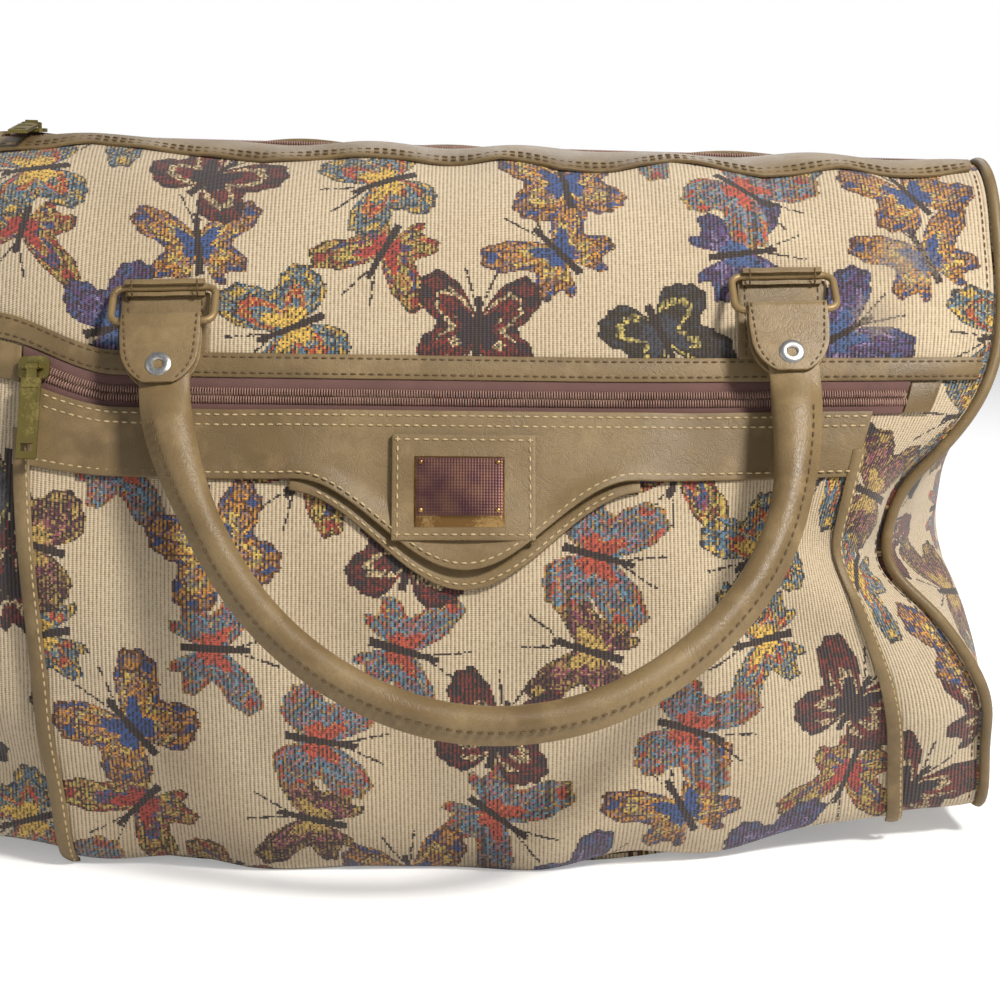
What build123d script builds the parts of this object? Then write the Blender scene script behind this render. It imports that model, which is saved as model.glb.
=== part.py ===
"""Tapestry carpet bag with a front pocket, two looped handles and two zips.

Millimetres, +Z up, +X to the right of the bag's front, the front faces -Y.
The origin is on the floor under the middle of the bag.
"""

import math
import os

from build123d import *

os.makedirs("parts", exist_ok=True)

FRONT, BACK = -1, 1

# bag body
HALF_LENGTH = 252.0
HEIGHT = 345.0
WALL = 2.2
END_BULGE = 15.0
RIDGE_SLOPE = -0.0275
SECTION_POINTS = [
    (0, HEIGHT),
    (24, HEIGHT - 6.5),
    (50, HEIGHT - 28),
    (71, HEIGHT - 58),
    (88, HEIGHT - 98),
    (107, HEIGHT - 150),
    (119, 150),
    (123, 115),
    (122, 75),
    (118, 40),
    (111, 14),
    (103, 3),
    (95, 0),
]

# slumped right front corner
DENT_HEIGHT = 156.0
DENT_SPREAD = 58.0
DENT_LENGTH = 58.0
DENT_DEPTH = 22.0

# leather and trims
LEATHER = 1.8
TAPE = 1.0
SEAM_GAP = 0.4
PIPING_RADIUS = 2.7
STRIP_TOP = 7.0
PANEL_TOP = 10.0

# front pocket, as distances down from the ridge
BAND_TOP = 139.0
BAND_BOTTOM = 151.0
COIL_TOP = 156.0
COIL_BOTTOM = 163.5
COIL_RISE = 2.6
POCKET_TOP = 168.5
POCKET_HEM = 7.1
POCKET_FULLNESS = 7.0
FLAP_TOP = 167.0
FLAP_EDGE = 200.0
SCOOP_CENTRE = -4.0
SCOOP_HALF_WIDTH = 80.0
SCOOP_DROP = 41.0
RIM_WIDTH = 9.0
TRIM_WIDTH = 8.0

# carrying gear
WIRE_RADIUS = 1.8
RING_HALF_WIDTH = 24.2
RING_DROP = 23.0
RING_SPACING = 147.0
LOOP_GAP = 0.4
STRAP = 2.0
TONGUE_WIDTH = 39.0
TONGUE_LENGTH = 33.0
EYELET_DROP = -24.0
GRIP_RADIUS = 7.8
GEAR_DOWN = 103.5
ROLL_DOWN = (109.0, 98.0)
RING_LEAN = 50.0
HANDLE_LEAN = 30.0

# zip sliders
SLIDER_GAP = 1.3
BRIDGE_RISE = 4.0
BRIDGE_RADIUS = 0.9
PULL_HANG = 64.0
PULL_LENGTH = 40.0

SECTION = Spline(*SECTION_POINTS)
GIRTH = SECTION.length
POCKET_BOTTOM = GIRTH - POCKET_HEM
SAMPLES = [SECTION @ (i / 400) for i in range(401)]


def smooth(t):
    """Ease from 0 to 1 with level ends."""
    t = min(max(t, 0.0), 1.0)
    return t * t * (3 - 2 * t)


def section(down):
    """Depth and height on the middle section, a distance down from the ridge."""
    place = min(max(down / GIRTH * 400, 0.0), 399.999)
    i = int(place)
    point = SAMPLES[i] + (SAMPLES[i + 1] - SAMPLES[i]) * (place - i)
    return point.X, point.Y


def lift(x):
    """How far the base stands off the floor towards the bag's ends."""
    return 9 * smooth((-x - 110) / 140) + 16 * smooth((x - 50) / 200)


def wall_point(x, down, side):
    """A point on the outside of the wall before any layer is added."""
    depth, height = section(down)
    share = height / HEIGHT
    low = 1 - smooth(height / 170)
    depth *= 1 - 0.13 * max(0.0, (abs(x) - 190) / 62) ** 2
    height += lift(x) * (1 - share) ** 1.5 + RIDGE_SLOPE * x * share**2
    if side == BACK:
        tuck = 16 * smooth((abs(x) - 80) / 170)
        return Vector(x, depth - tuck * low, height)
    tuck = 12 * smooth((-x - 90) / 160) + 40 * smooth((x - 30) / 220)
    rise = 16 * smooth((-170 - x) / 60) * math.exp(-(((down - 140) / 55) ** 2))
    level = math.exp(-(((section(down)[1] - DENT_HEIGHT) / DENT_SPREAD) ** 2))
    reach = max(0.0, (x - 60) / (HALF_LENGTH - 60)) ** 2.4
    depth -= tuck * low + DENT_DEPTH * level**2 * reach + 0.36 * rise
    return Vector(x - DENT_LENGTH * level * reach, -depth, height + rise)


def skin(x, down, out=0.0, side=FRONT):
    """A point on the bag, a distance out from its wall."""
    here = wall_point(x, down, side)
    if out == 0:
        return here
    along = wall_point(x + 1, down, side) - wall_point(x - 1, down, side)
    fall = wall_point(x, down + 1, side) - wall_point(x, down - 1, side)
    normal = along.cross(fall).normalized()
    return here + normal * (out if side == BACK else -out)


def sheet(outer, inner, columns, rows):
    """Cloth or leather between two grids of points, outer(a, b) and inner(a, b)."""
    upper = [[outer(i / columns, j / rows) for j in range(rows + 1)] for i in range(columns + 1)]
    lower = [[inner(i / columns, j / rows) for j in range(rows + 1)] for i in range(columns + 1)]
    cells = []
    for grid in (upper, lower):
        for i in range(columns):
            for j in range(rows):
                cells.append((grid[i][j], grid[i + 1][j], grid[i + 1][j + 1], grid[i][j + 1]))
    for i in range(columns):
        for j in (0, rows):
            cells.append((upper[i][j], upper[i + 1][j], lower[i + 1][j], lower[i][j]))
    for j in range(rows):
        for i in (0, columns):
            cells.append((upper[i][j], upper[i][j + 1], lower[i][j + 1], lower[i][j]))
    faces = []
    for p, q, r, t in cells:
        faces.append(Face(Wire.make_polygon([p, q, r])))
        faces.append(Face(Wire.make_polygon([p, r, t])))
    return Solid(Shell(faces))


def laid(place, out, thickness, columns, rows, side=FRONT):
    """A sheet on the bag; place(a, b) gives x and distance down, out its outer height."""

    def at(a, b, inset):
        x, down = place(a, b)
        height = out(x, down) if callable(out) else out
        return skin(x, down, height - inset, side)

    return sheet(lambda a, b: at(a, b, 0), lambda a, b: at(a, b, thickness), columns, rows)


def strip(x_range, down_range, out, thickness, side=FRONT, columns=12, rows=2):
    """A rectangular strip laid on the bag, its outer face a distance out."""
    x0, x1 = x_range
    d0, d1 = down_range
    return laid(lambda a, b: (x0 + (x1 - x0) * a, d0 + (d1 - d0) * b), out, thickness, columns, rows, side)


def tube(stations, across, sides):
    """A faceted cord through (centre, radius across, radius in plane) stations."""
    centres = [centre for centre, _, _ in stations]
    sections = []
    for i, (centre, r_across, r_plane) in enumerate(stations):
        ahead = centres[min(i + 1, len(centres) - 1)] - centres[max(i - 1, 0)]
        plane = Plane(centre, x_dir=across, z_dir=ahead)
        ring = [2 * math.pi * k / sides for k in range(sides)]
        corners = [(r_across * math.cos(t), r_plane * math.sin(t)) for t in ring]
        sections.append(plane * make_face(Polyline(*corners, close=True)))
    return loft(sections, ruled=True)


def rod(radius, length):
    """A sixteen-sided rod along X, about the origin."""
    return extrude(Plane.YZ * RegularPolygon(radius, 16), length / 2, both=True)


def save(shape, name):
    """Write one named piece."""
    export_step(shape, f"parts/{name}.step")
    print(name, round(shape.volume), "mm3")


# panels
body_x = (-HALF_LENGTH, HALF_LENGTH)
for side, name in ((FRONT, "front"), (BACK, "back")):
    panel = strip(body_x, (PANEL_TOP, GIRTH), 0, WALL, side, columns=20 if side == FRONT else 14, rows=22)
    save(panel, f"{name}_panel")


def base_point(x, w, up=0.0):
    """A point on the bag's underside, w from 0 at the front edge to 1 at the back."""
    front = wall_point(x, GIRTH, FRONT)
    back = wall_point(x, GIRTH, BACK)
    return Vector(x, front.Y + (back.Y - front.Y) * w, lift(x) + up)


def base_sheet(x0, x1, w0, w1, up, thickness, columns):
    """A sheet on the base, its underside a distance up from the outside."""

    def at(a, b, rise):
        return base_point(x0 + (x1 - x0) * a, w0 + (w1 - w0) * b, up + rise)

    return sheet(lambda a, b: at(a, b, 0), lambda a, b: at(a, b, thickness), columns, 1)


flat_x = (-110.0, 50.0)
flat_edge = [base_point(flat_x[0] + 20 * i, 0) for i in range(9)]
flat_back = [base_point(flat_x[0] + 20 * i, 1) for i in range(9)]
base = extrude(make_face(Polyline(*flat_edge, *flat_back[::-1], close=True)), WALL, dir=(0, 0, 1))
base += base_sheet(-HALF_LENGTH, flat_x[0], 0, 1, 0, WALL, 6)
base += base_sheet(flat_x[1], HALF_LENGTH, 0, 1, 0, WALL, 8)
save(base, "base_panel")
save(base_sheet(-225, 215, 0.06, 0.94, WALL + SEAM_GAP, 3, 14), "base_board")

END_TOP = 16.0


def end_point(end, a, b, thickness=0.0):
    """A point on an end panel, a across the bag, b from top to bottom."""
    down = END_TOP + (GIRTH - END_TOP) * b
    front = wall_point(HALF_LENGTH * end, down, FRONT)
    back = wall_point(HALF_LENGTH * end, down, BACK)
    bulge = END_BULGE * (1 - (2 * a - 1) ** 2) * math.sin(math.pi * b) ** 0.7
    return front + (back - front) * a + Vector(end * (bulge + thickness), 0, 0)


def end_outline(end):
    """The seam round an end panel, just outside its edge."""
    reach = PIPING_RADIUS * 0.75
    points = [base_point(HALF_LENGTH * end, w, -reach) for w in (0.5, 0.3, 0.12)]
    for down in (392, 372, 335, 300, 265, 232, 205, 182, 160, 135, 105, 70, 35, 8):
        points.append(skin(HALF_LENGTH * end, down, reach, FRONT))
    for down in (8, 35, 70, 110, 150, 190, 230, 270, 310, 345, 372, 392):
        points.append(skin(HALF_LENGTH * end, down, reach, BACK))
    points += [base_point(HALF_LENGTH * end, w, -reach) for w in (0.88, 0.7, 0.505)]
    return [point + Vector(end * (WALL + reach), 0, 0) for point in points]


for end, name in ((-1, "left"), (1, "right")):
    panel = sheet(
        lambda a, b: end_point(end, a, b, WALL),
        lambda a, b: end_point(end, a, b),
        8,
        14,
    )
    save(panel, f"end_panel_{name}")
    rail = Spline(*end_outline(end))
    stations = [(rail @ (i / 48), PIPING_RADIUS, PIPING_RADIUS) for i in range(49)]
    save(tube(stations, (end, 0, 0), 6), f"piping_{name}")

# main zip along the ridge
for side, name in ((FRONT, "front"), (BACK, "back")):
    tape = strip((12 - HALF_LENGTH, HALF_LENGTH - 12), (3.6, 16), -WALL - SEAM_GAP, TAPE, side, columns=4, rows=2)
    save(tape, f"main_zip_tape_{name}")

    def wavy_strip(a, b):
        """The strip's lower edge waves a little along the bag."""
        x = (HALF_LENGTH - 6) * (2 * a - 1)
        edge = 26 + 2.6 * math.sin(x / 16 + side) + 1.6 * math.sin(x / 37)
        return x, STRIP_TOP + (edge - STRIP_TOP) * b

    save(laid(wavy_strip, LEATHER + SEAM_GAP, LEATHER, 30, 2, side), f"top_strip_{name}")

coil_end = HALF_LENGTH - 16
ridge = Line((-coil_end, 0, HEIGHT - 1.6 - RIDGE_SLOPE * coil_end), (coil_end, 0, HEIGHT - 1.6 + RIDGE_SLOPE * coil_end))
main_coil = sweep(Plane(ridge @ 0, z_dir=ridge % 0) * RegularPolygon(3.4, 10), path=ridge)
save(main_coil, "main_zip_coil")
for end, name in ((-1, "left"), (1, "right")):
    x_mid = end * (HALF_LENGTH - 5.5)
    roof = Polyline((-7.4, -1.5), (0, 1.4), (7.4, -1.5), (7.4, -3.2), (0, -0.3), (-7.4, -3.2), close=True)
    tab = extrude(Plane((x_mid - 5.5, 0, HEIGHT + RIDGE_SLOPE * x_mid), x_dir=(0, 1, 0), z_dir=(1, 0, 0))
                  * make_face(roof), 11)
    save(tab, f"main_zip_end_{name}")

# front pocket
def pocket_side(end, down):
    """Where the pocket's edge runs on the front wall."""
    fall = (down - 190) / 160
    return -212 + 12 * fall if end < 0 else 194 + 12 * fall


def fullness(x, down):
    """How far the pocket stands off the wall."""
    left, right = pocket_side(-1, down), pocket_side(1, down)
    across = min(max((x - left) / (right - left), 0.0), 1.0)
    along = min(max((down - POCKET_TOP) / (POCKET_BOTTOM - POCKET_TOP), 0.0), 1.0)
    return POCKET_FULLNESS * min(1.0, 2.4 * math.sin(math.pi * across) ** 2) * math.sin(math.pi * along) ** 2


def pocket_place(a, b):
    """The pocket's outline, a across and b down."""
    down = POCKET_TOP + (POCKET_BOTTOM - POCKET_TOP) * b
    left, right = pocket_side(-1, down), pocket_side(1, down)
    return left + (right - left) * a, down


ON_POCKET = WALL + 2 * SEAM_GAP
save(laid(pocket_place, lambda x, d: WALL + SEAM_GAP + fullness(x, d), WALL, 16, 14), "pocket_panel")

for end, name in ((-1, "left"), (1, "right")):

    def trim_place(a, b):
        """The leather binding over the pocket's side seam."""
        down = 186 + (POCKET_BOTTOM + 2 - 186) * b
        return pocket_side(end, down) + TRIM_WIDTH * (a - 0.5), down

    trim = laid(trim_place, lambda x, d: ON_POCKET + fullness(x, d) + LEATHER, LEATHER, 3, 20)
    save(trim, f"side_trim_{name}")

zip_x = (-214, 212)
save(strip((5 - HALF_LENGTH, HALF_LENGTH - 5), (BAND_TOP, BAND_BOTTOM), LEATHER + SEAM_GAP, LEATHER, columns=20), "pocket_zip_band")
save(strip(zip_x, (BAND_BOTTOM + SEAM_GAP, COIL_TOP), TAPE + SEAM_GAP, TAPE, columns=12), "pocket_zip_tape_upper")
save(strip(zip_x, (COIL_BOTTOM, POCKET_TOP - SEAM_GAP), TAPE + SEAM_GAP, TAPE, columns=12), "pocket_zip_tape_lower")
coil_downs = (COIL_TOP + SEAM_GAP, COIL_BOTTOM - SEAM_GAP)
save(strip(zip_x, coil_downs, COIL_RISE + SEAM_GAP, COIL_RISE, columns=12), "pocket_zip_coil")
for name, span in (("left", (-230, -214.5)), ("right", (212.5, 228))):
    tab = strip(span, (COIL_TOP - 4, COIL_BOTTOM + 4), LEATHER + SEAM_GAP, LEATHER, columns=2)
    save(tab, f"pocket_zip_end_{name}")


def scoop(x):
    """The flap's lower edge: level, with a rounded tongue in the middle."""
    reach = min(abs(x - SCOOP_CENTRE) / SCOOP_HALF_WIDTH, 1.0)
    return FLAP_EDGE + SCOOP_DROP * (0.5 + 0.5 * math.cos(math.pi * reach))


def flap_rise(x):
    """The flap lies higher where the rim is under it."""
    return (LEATHER + SEAM_GAP) * (1 - smooth((abs(x - SCOOP_CENTRE) - SCOOP_HALF_WIDTH) / 30))


def flap_out(x, down):
    """How far the flap's outer face is from the wall."""
    return ON_POCKET + fullness(x, down) + flap_rise(x) + LEATHER


def flap_place(a, b):
    """The leather flap below the pocket zip."""
    x = -212 + 406 * a
    return x, FLAP_TOP + (scoop(x) - FLAP_TOP) * b


def rim_place(a, b):
    """The crescent of leather that shows below the flap's tongue."""
    x = SCOOP_CENTRE + (SCOOP_HALF_WIDTH + 2) * (2 * a - 1)
    width = RIM_WIDTH * (1 - 0.45 * abs(2 * a - 1) ** 3)
    return x, scoop(x) - 14 + (14 + width) * b


save(laid(flap_place, flap_out, LEATHER, 40, 3), "pocket_flap")
save(laid(rim_place, lambda x, d: ON_POCKET + fullness(x, d) + LEATHER, LEATHER, 18, 2), "scoop_rim")


def badge(x_range, down_range, under, thickness):
    """A small rectangle lying on the flap."""
    x0, x1 = x_range
    d0, d1 = down_range
    return laid(
        lambda a, b: (x0 + (x1 - x0) * a, d0 + (d1 - d0) * b),
        lambda x, d: flap_out(x, d) + under + thickness,
        thickness,
        4,
        4,
    )


patch_x, patch_down = (-38, 29), (179, 228)
plate_x, plate_down = (-27.5, 14.5), (189.5, 217.5)
save(badge(patch_x, patch_down, SEAM_GAP, LEATHER), "patch")
save(badge(plate_x, plate_down, LEATHER + 2 * SEAM_GAP, 1.2), "nameplate")
plate_top = LEATHER + 2 * SEAM_GAP + 1.2
for i, x in enumerate((plate_x[0] + 3, plate_x[1] - 3)):
    for j, down in enumerate((plate_down[0] + 3, plate_down[1] - 3)):
        foot = skin(x, down, flap_out(x, down) + plate_top)
        head = skin(x, down, flap_out(x, down) + plate_top + 1)
        stud = extrude(Plane(foot, z_dir=head - foot) * RegularPolygon(1.2, 8), 0.7)
        save(stud, f"plate_stud_{'left' if i == 0 else 'right'}_{'upper' if j == 0 else 'lower'}")

# carrying gear: rings in chapes, tubular handles on the rings
LOOP_INNER = WIRE_RADIUS + LOOP_GAP
LOOP_OUTER = LOOP_INNER + STRAP


def rounded_ring():
    """The wire ring, its top bar on the X axis, hanging to -Z."""
    wide, cut = RING_HALF_WIDTH, 4
    right = [(0, 0), (wide - cut, 0), (wide, -cut), (wide, cut - RING_DROP), (wide - cut, -RING_DROP)]
    left = [(-x, z) for x, z in right[:0:-1]]
    rail = Polyline(*[(x, 0, z) for x, z in right + left], close=True)
    start = Plane(rail @ 0, z_dir=(1, 0, 0)) * Rotation(0, 0, 22.5) * RegularPolygon(WIRE_RADIUS, 8)
    return sweep(start, path=rail, transition=Transition.RIGHT)


def tube_loop(width):
    """A leather roll about the X axis."""
    return rod(LOOP_OUTER, width) - rod(LOOP_INNER, width + 2)


def tongue():
    """Folded leather tab hanging from the origin, with a hole for its eyelet."""
    leaf = Pos(0, 0, -TONGUE_LENGTH / 2) * Box(TONGUE_WIDTH, 2 * LOOP_OUTER, TONGUE_LENGTH)
    leaf = chamfer(leaf.edges().filter_by(Axis.Y).group_by(Axis.Z)[0], 4)
    inside = Pos(0, 0, -TONGUE_LENGTH / 2 - 1) * Box(TONGUE_WIDTH + 2, 2 * LOOP_INNER, TONGUE_LENGTH + 2)
    hole = Pos(0, 0, EYELET_DROP) * Rotation(0, 0, 90) * rod(3.6, 12)
    return leaf + rod(LOOP_OUTER, TONGUE_WIDTH) - inside - rod(LOOP_INNER, TONGUE_WIDTH + 2) - hole


def eyelet():
    """Nickel eyelet through the tongue."""
    body = Rotation(0, 0, 90) * rod(3.5, 2 * LOOP_OUTER + 0.6)
    flange = Pos(0, -LOOP_OUTER - 0.6, 0) * Rotation(0, 0, 90) * rod(6.2, 1.0)
    return Pos(0, 0, EYELET_DROP) * (body + flange - Rotation(0, 0, 90) * rod(2.3, 30))


GRIP_POINTS = [
    (-142, -48),
    (-138, -65.5),
    (-129, -91.8),
    (-112, -126.8),
    (-89, -156.4),
    (-58, -180.4),
    (-22, -195.8),
    (14, -199),
    (52, -192.5),
    (90, -171.7),
    (120, -142.1),
    (137, -111.4),
    (145, -80.8),
    (147, -48),
]


def grip():
    """Tubular handle in the XZ plane, flattened where it enters the tongues."""
    rail = Spline(*[(x, 0, z) for x, z in GRIP_POINTS], tangents=[(0, 0, -1), (0, 0, 1)])
    steps = 28
    stations = [(rail @ (i / steps), GRIP_RADIUS, GRIP_RADIUS) for i in range(steps + 1)]
    start, finish = rail @ 0, rail @ 1
    for sign, end in ((-1, start), (1, finish)):
        shoulder = [
            (end + Vector(0, 0, 6), 6.4, 9.4),
            (end + Vector(0, 0, 13), LOOP_INNER, 10.6),
            (end + Vector(0, 0, 31), LOOP_INNER, 10.6),
        ]
        stations = shoulder[::-1] + stations if sign < 0 else stations + shoulder
    body = tube(stations, (0, 1, 0), 10)
    for x in (-RING_SPACING, RING_SPACING):
        body -= Pos(x, 0, EYELET_DROP) * Rotation(0, 0, 90) * rod(3.6, 12)
    return body


def gear_frame(side):
    """Frame on a pair of roll axes: X along them, -Y away from the bag, Z up."""
    reach = LOOP_OUTER + SEAM_GAP
    first = skin(side * RING_SPACING, ROLL_DOWN[0] if side == FRONT else GEAR_DOWN, reach, side)
    last = skin(-side * RING_SPACING, ROLL_DOWN[1] if side == FRONT else GEAR_DOWN, reach, side)
    along = (last - first).normalized()
    up = Vector(0, 0, 1) - along * along.Z
    return Location(Plane((first + last) * 0.5, x_dir=along, z_dir=up)), along


lean = math.radians(RING_LEAN)
low_bar = (0, -RING_DROP * math.sin(lean), -RING_DROP * math.cos(lean))
GEARS = {}
for side, name in ((FRONT, "front"), (BACK, "back")):
    gear, along = gear_frame(side)
    GEARS[name] = (gear, along)
    hang = gear * Rotation(-RING_LEAN, 0, 0)
    carry = gear * Pos(*low_bar) * Rotation(-HANDLE_LEAN, 0, 0)
    for end, word in ((-1, "left"), (1, "right")):
        place = -end * side
        shift = Pos(place * RING_SPACING, 0, 0)
        save(hang * shift * rounded_ring(), f"ring_{name}_{word}")
        save(carry * shift * tongue(), f"tongue_{name}_{word}")
        save(carry * shift * eyelet(), f"eyelet_{name}_{word}")
        roll = gear * shift * tube_loop(37.6)
        start = GEAR_DOWN if side == BACK else ROLL_DOWN[0 if end < 0 else 1]
        x0 = end * RING_SPACING
        tail = strip((x0 - 18.8, x0 + 18.8), (start + 2.5, BAND_TOP - 1), STRAP + SEAM_GAP, STRAP, side, 3, 3)
        save(roll + tail, f"chape_{name}_{word}")
    save(carry * grip(), f"handle_{name}")


def slider_body():
    """Zip slider lying on the XY plane with its bridge along X."""
    plate = extrude(RectangleRounded(15, 11, 3), 1.8)
    posts = Pos(-4.2, 0, 1.5) * Box(1.6, 2.4, 3.1, align=(Align.CENTER, Align.CENTER, Align.MIN))
    posts += Pos(4.2, 0, 1.5) * Box(1.6, 2.4, 3.1, align=(Align.CENTER, Align.CENTER, Align.MIN))
    bridge = Pos(0, 0, BRIDGE_RISE) * rod(BRIDGE_RADIUS, 9)
    return plate + posts + bridge


def slider_pull(length):
    """Pull hanging to -Y from the bridge at the origin."""
    eye = rod(1.9, 6)
    neck = Pos(0, -4.5, 0) * Box(4.6, 7, 1.6)
    plate = extrude(Pos(0, -6 - length / 2) * Rectangle(9.5, length), 0.8, both=True)
    window = extrude(Pos(0, -6 - length + 5.5) * Rectangle(5.6, 4), 2, both=True)
    recess = extrude(Plane.XY.offset(0.45) * Pos(0, -6 - length / 2 + 3) * Rectangle(6.8, length - 16), 1)
    bore = rod(BRIDGE_RADIUS + 0.4, 12)
    return eye + neck + plate - window - recess - bore


mid_coil = (COIL_TOP + COIL_BOTTOM) / 2
park = skin(-207, mid_coil, COIL_RISE + SEAM_GAP + SLIDER_GAP)
park_out = skin(-207, mid_coil, 12)
zip_seat = Plane(park, x_dir=(1, 0, 0), z_dir=park_out - park)
save(zip_seat * slider_body(), "pocket_slider")
pocket_bridge = park + (park_out - park).normalized() * BRIDGE_RISE
save(Pos(*pocket_bridge) * Rotation(PULL_HANG, 0, 0) * slider_pull(PULL_LENGTH), "pocket_pull")

ridge_tilt = Rotation(0, -math.degrees(math.atan(RIDGE_SLOPE)), 0)
top_seat = Pos(-226, 0, HEIGHT + RIDGE_SLOPE * -226 + 1.8 + SLIDER_GAP) * ridge_tilt
save(top_seat * slider_body(), "main_slider")
save(top_seat * Pos(0, 0, BRIDGE_RISE) * Rotation(8, 0, 0) * slider_pull(26), "main_pull")
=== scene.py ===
"""Looks of the tapestry carpet bag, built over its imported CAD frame.

Sizes are in millimetres and turned into metres when a mesh is placed.
"""

from __future__ import annotations

import logging
import math
from dataclasses import dataclass, field
from enum import Enum
from typing import Callable, Sequence

import bpy
import numpy as np
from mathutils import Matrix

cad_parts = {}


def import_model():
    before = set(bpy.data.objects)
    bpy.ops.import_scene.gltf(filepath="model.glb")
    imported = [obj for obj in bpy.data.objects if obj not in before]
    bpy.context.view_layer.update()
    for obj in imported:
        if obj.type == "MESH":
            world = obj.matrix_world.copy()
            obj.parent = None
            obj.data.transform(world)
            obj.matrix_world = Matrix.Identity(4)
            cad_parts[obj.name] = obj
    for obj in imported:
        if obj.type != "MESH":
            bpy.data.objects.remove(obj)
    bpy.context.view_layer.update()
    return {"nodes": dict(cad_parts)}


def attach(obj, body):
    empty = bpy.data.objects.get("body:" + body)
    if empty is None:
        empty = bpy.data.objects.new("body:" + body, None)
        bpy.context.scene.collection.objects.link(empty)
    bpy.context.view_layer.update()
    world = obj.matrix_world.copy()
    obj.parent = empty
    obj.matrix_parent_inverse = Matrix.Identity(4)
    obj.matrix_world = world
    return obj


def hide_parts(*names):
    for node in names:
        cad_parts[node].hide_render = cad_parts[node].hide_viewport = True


LOG = logging.getLogger("carpet_bag")
MM = 0.001
Array = np.ndarray
Placer = Callable[[Array, Array], tuple[Array, Array]]


class Side(Enum):
    """The two long sides of the bag."""

    FRONT = -1
    BACK = 1


class End(Enum):
    """The two ends of the bag."""

    LEFT = -1
    RIGHT = 1


def smooth(t: Array | float) -> Array | float:
    """Ease from 0 to 1 with level ends."""
    t = np.clip(t, 0.0, 1.0)
    return t * t * (3 - 2 * t)


def linear(red: int, green: int, blue: int) -> tuple[float, float, float, float]:
    """A display colour from 0 to 255 as linear light.

    Args:
        red: from 0 to 255.
        green: from 0 to 255.
        blue: from 0 to 255.

    Returns:
        The colour, with an alpha of 1.
    """
    parts = [c / 255 for c in (red, green, blue)]
    light = [c / 12.92 if c <= 0.04045 else ((c + 0.055) / 1.055) ** 2.4 for c in parts]
    return (light[0], light[1], light[2], 1.0)


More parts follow.
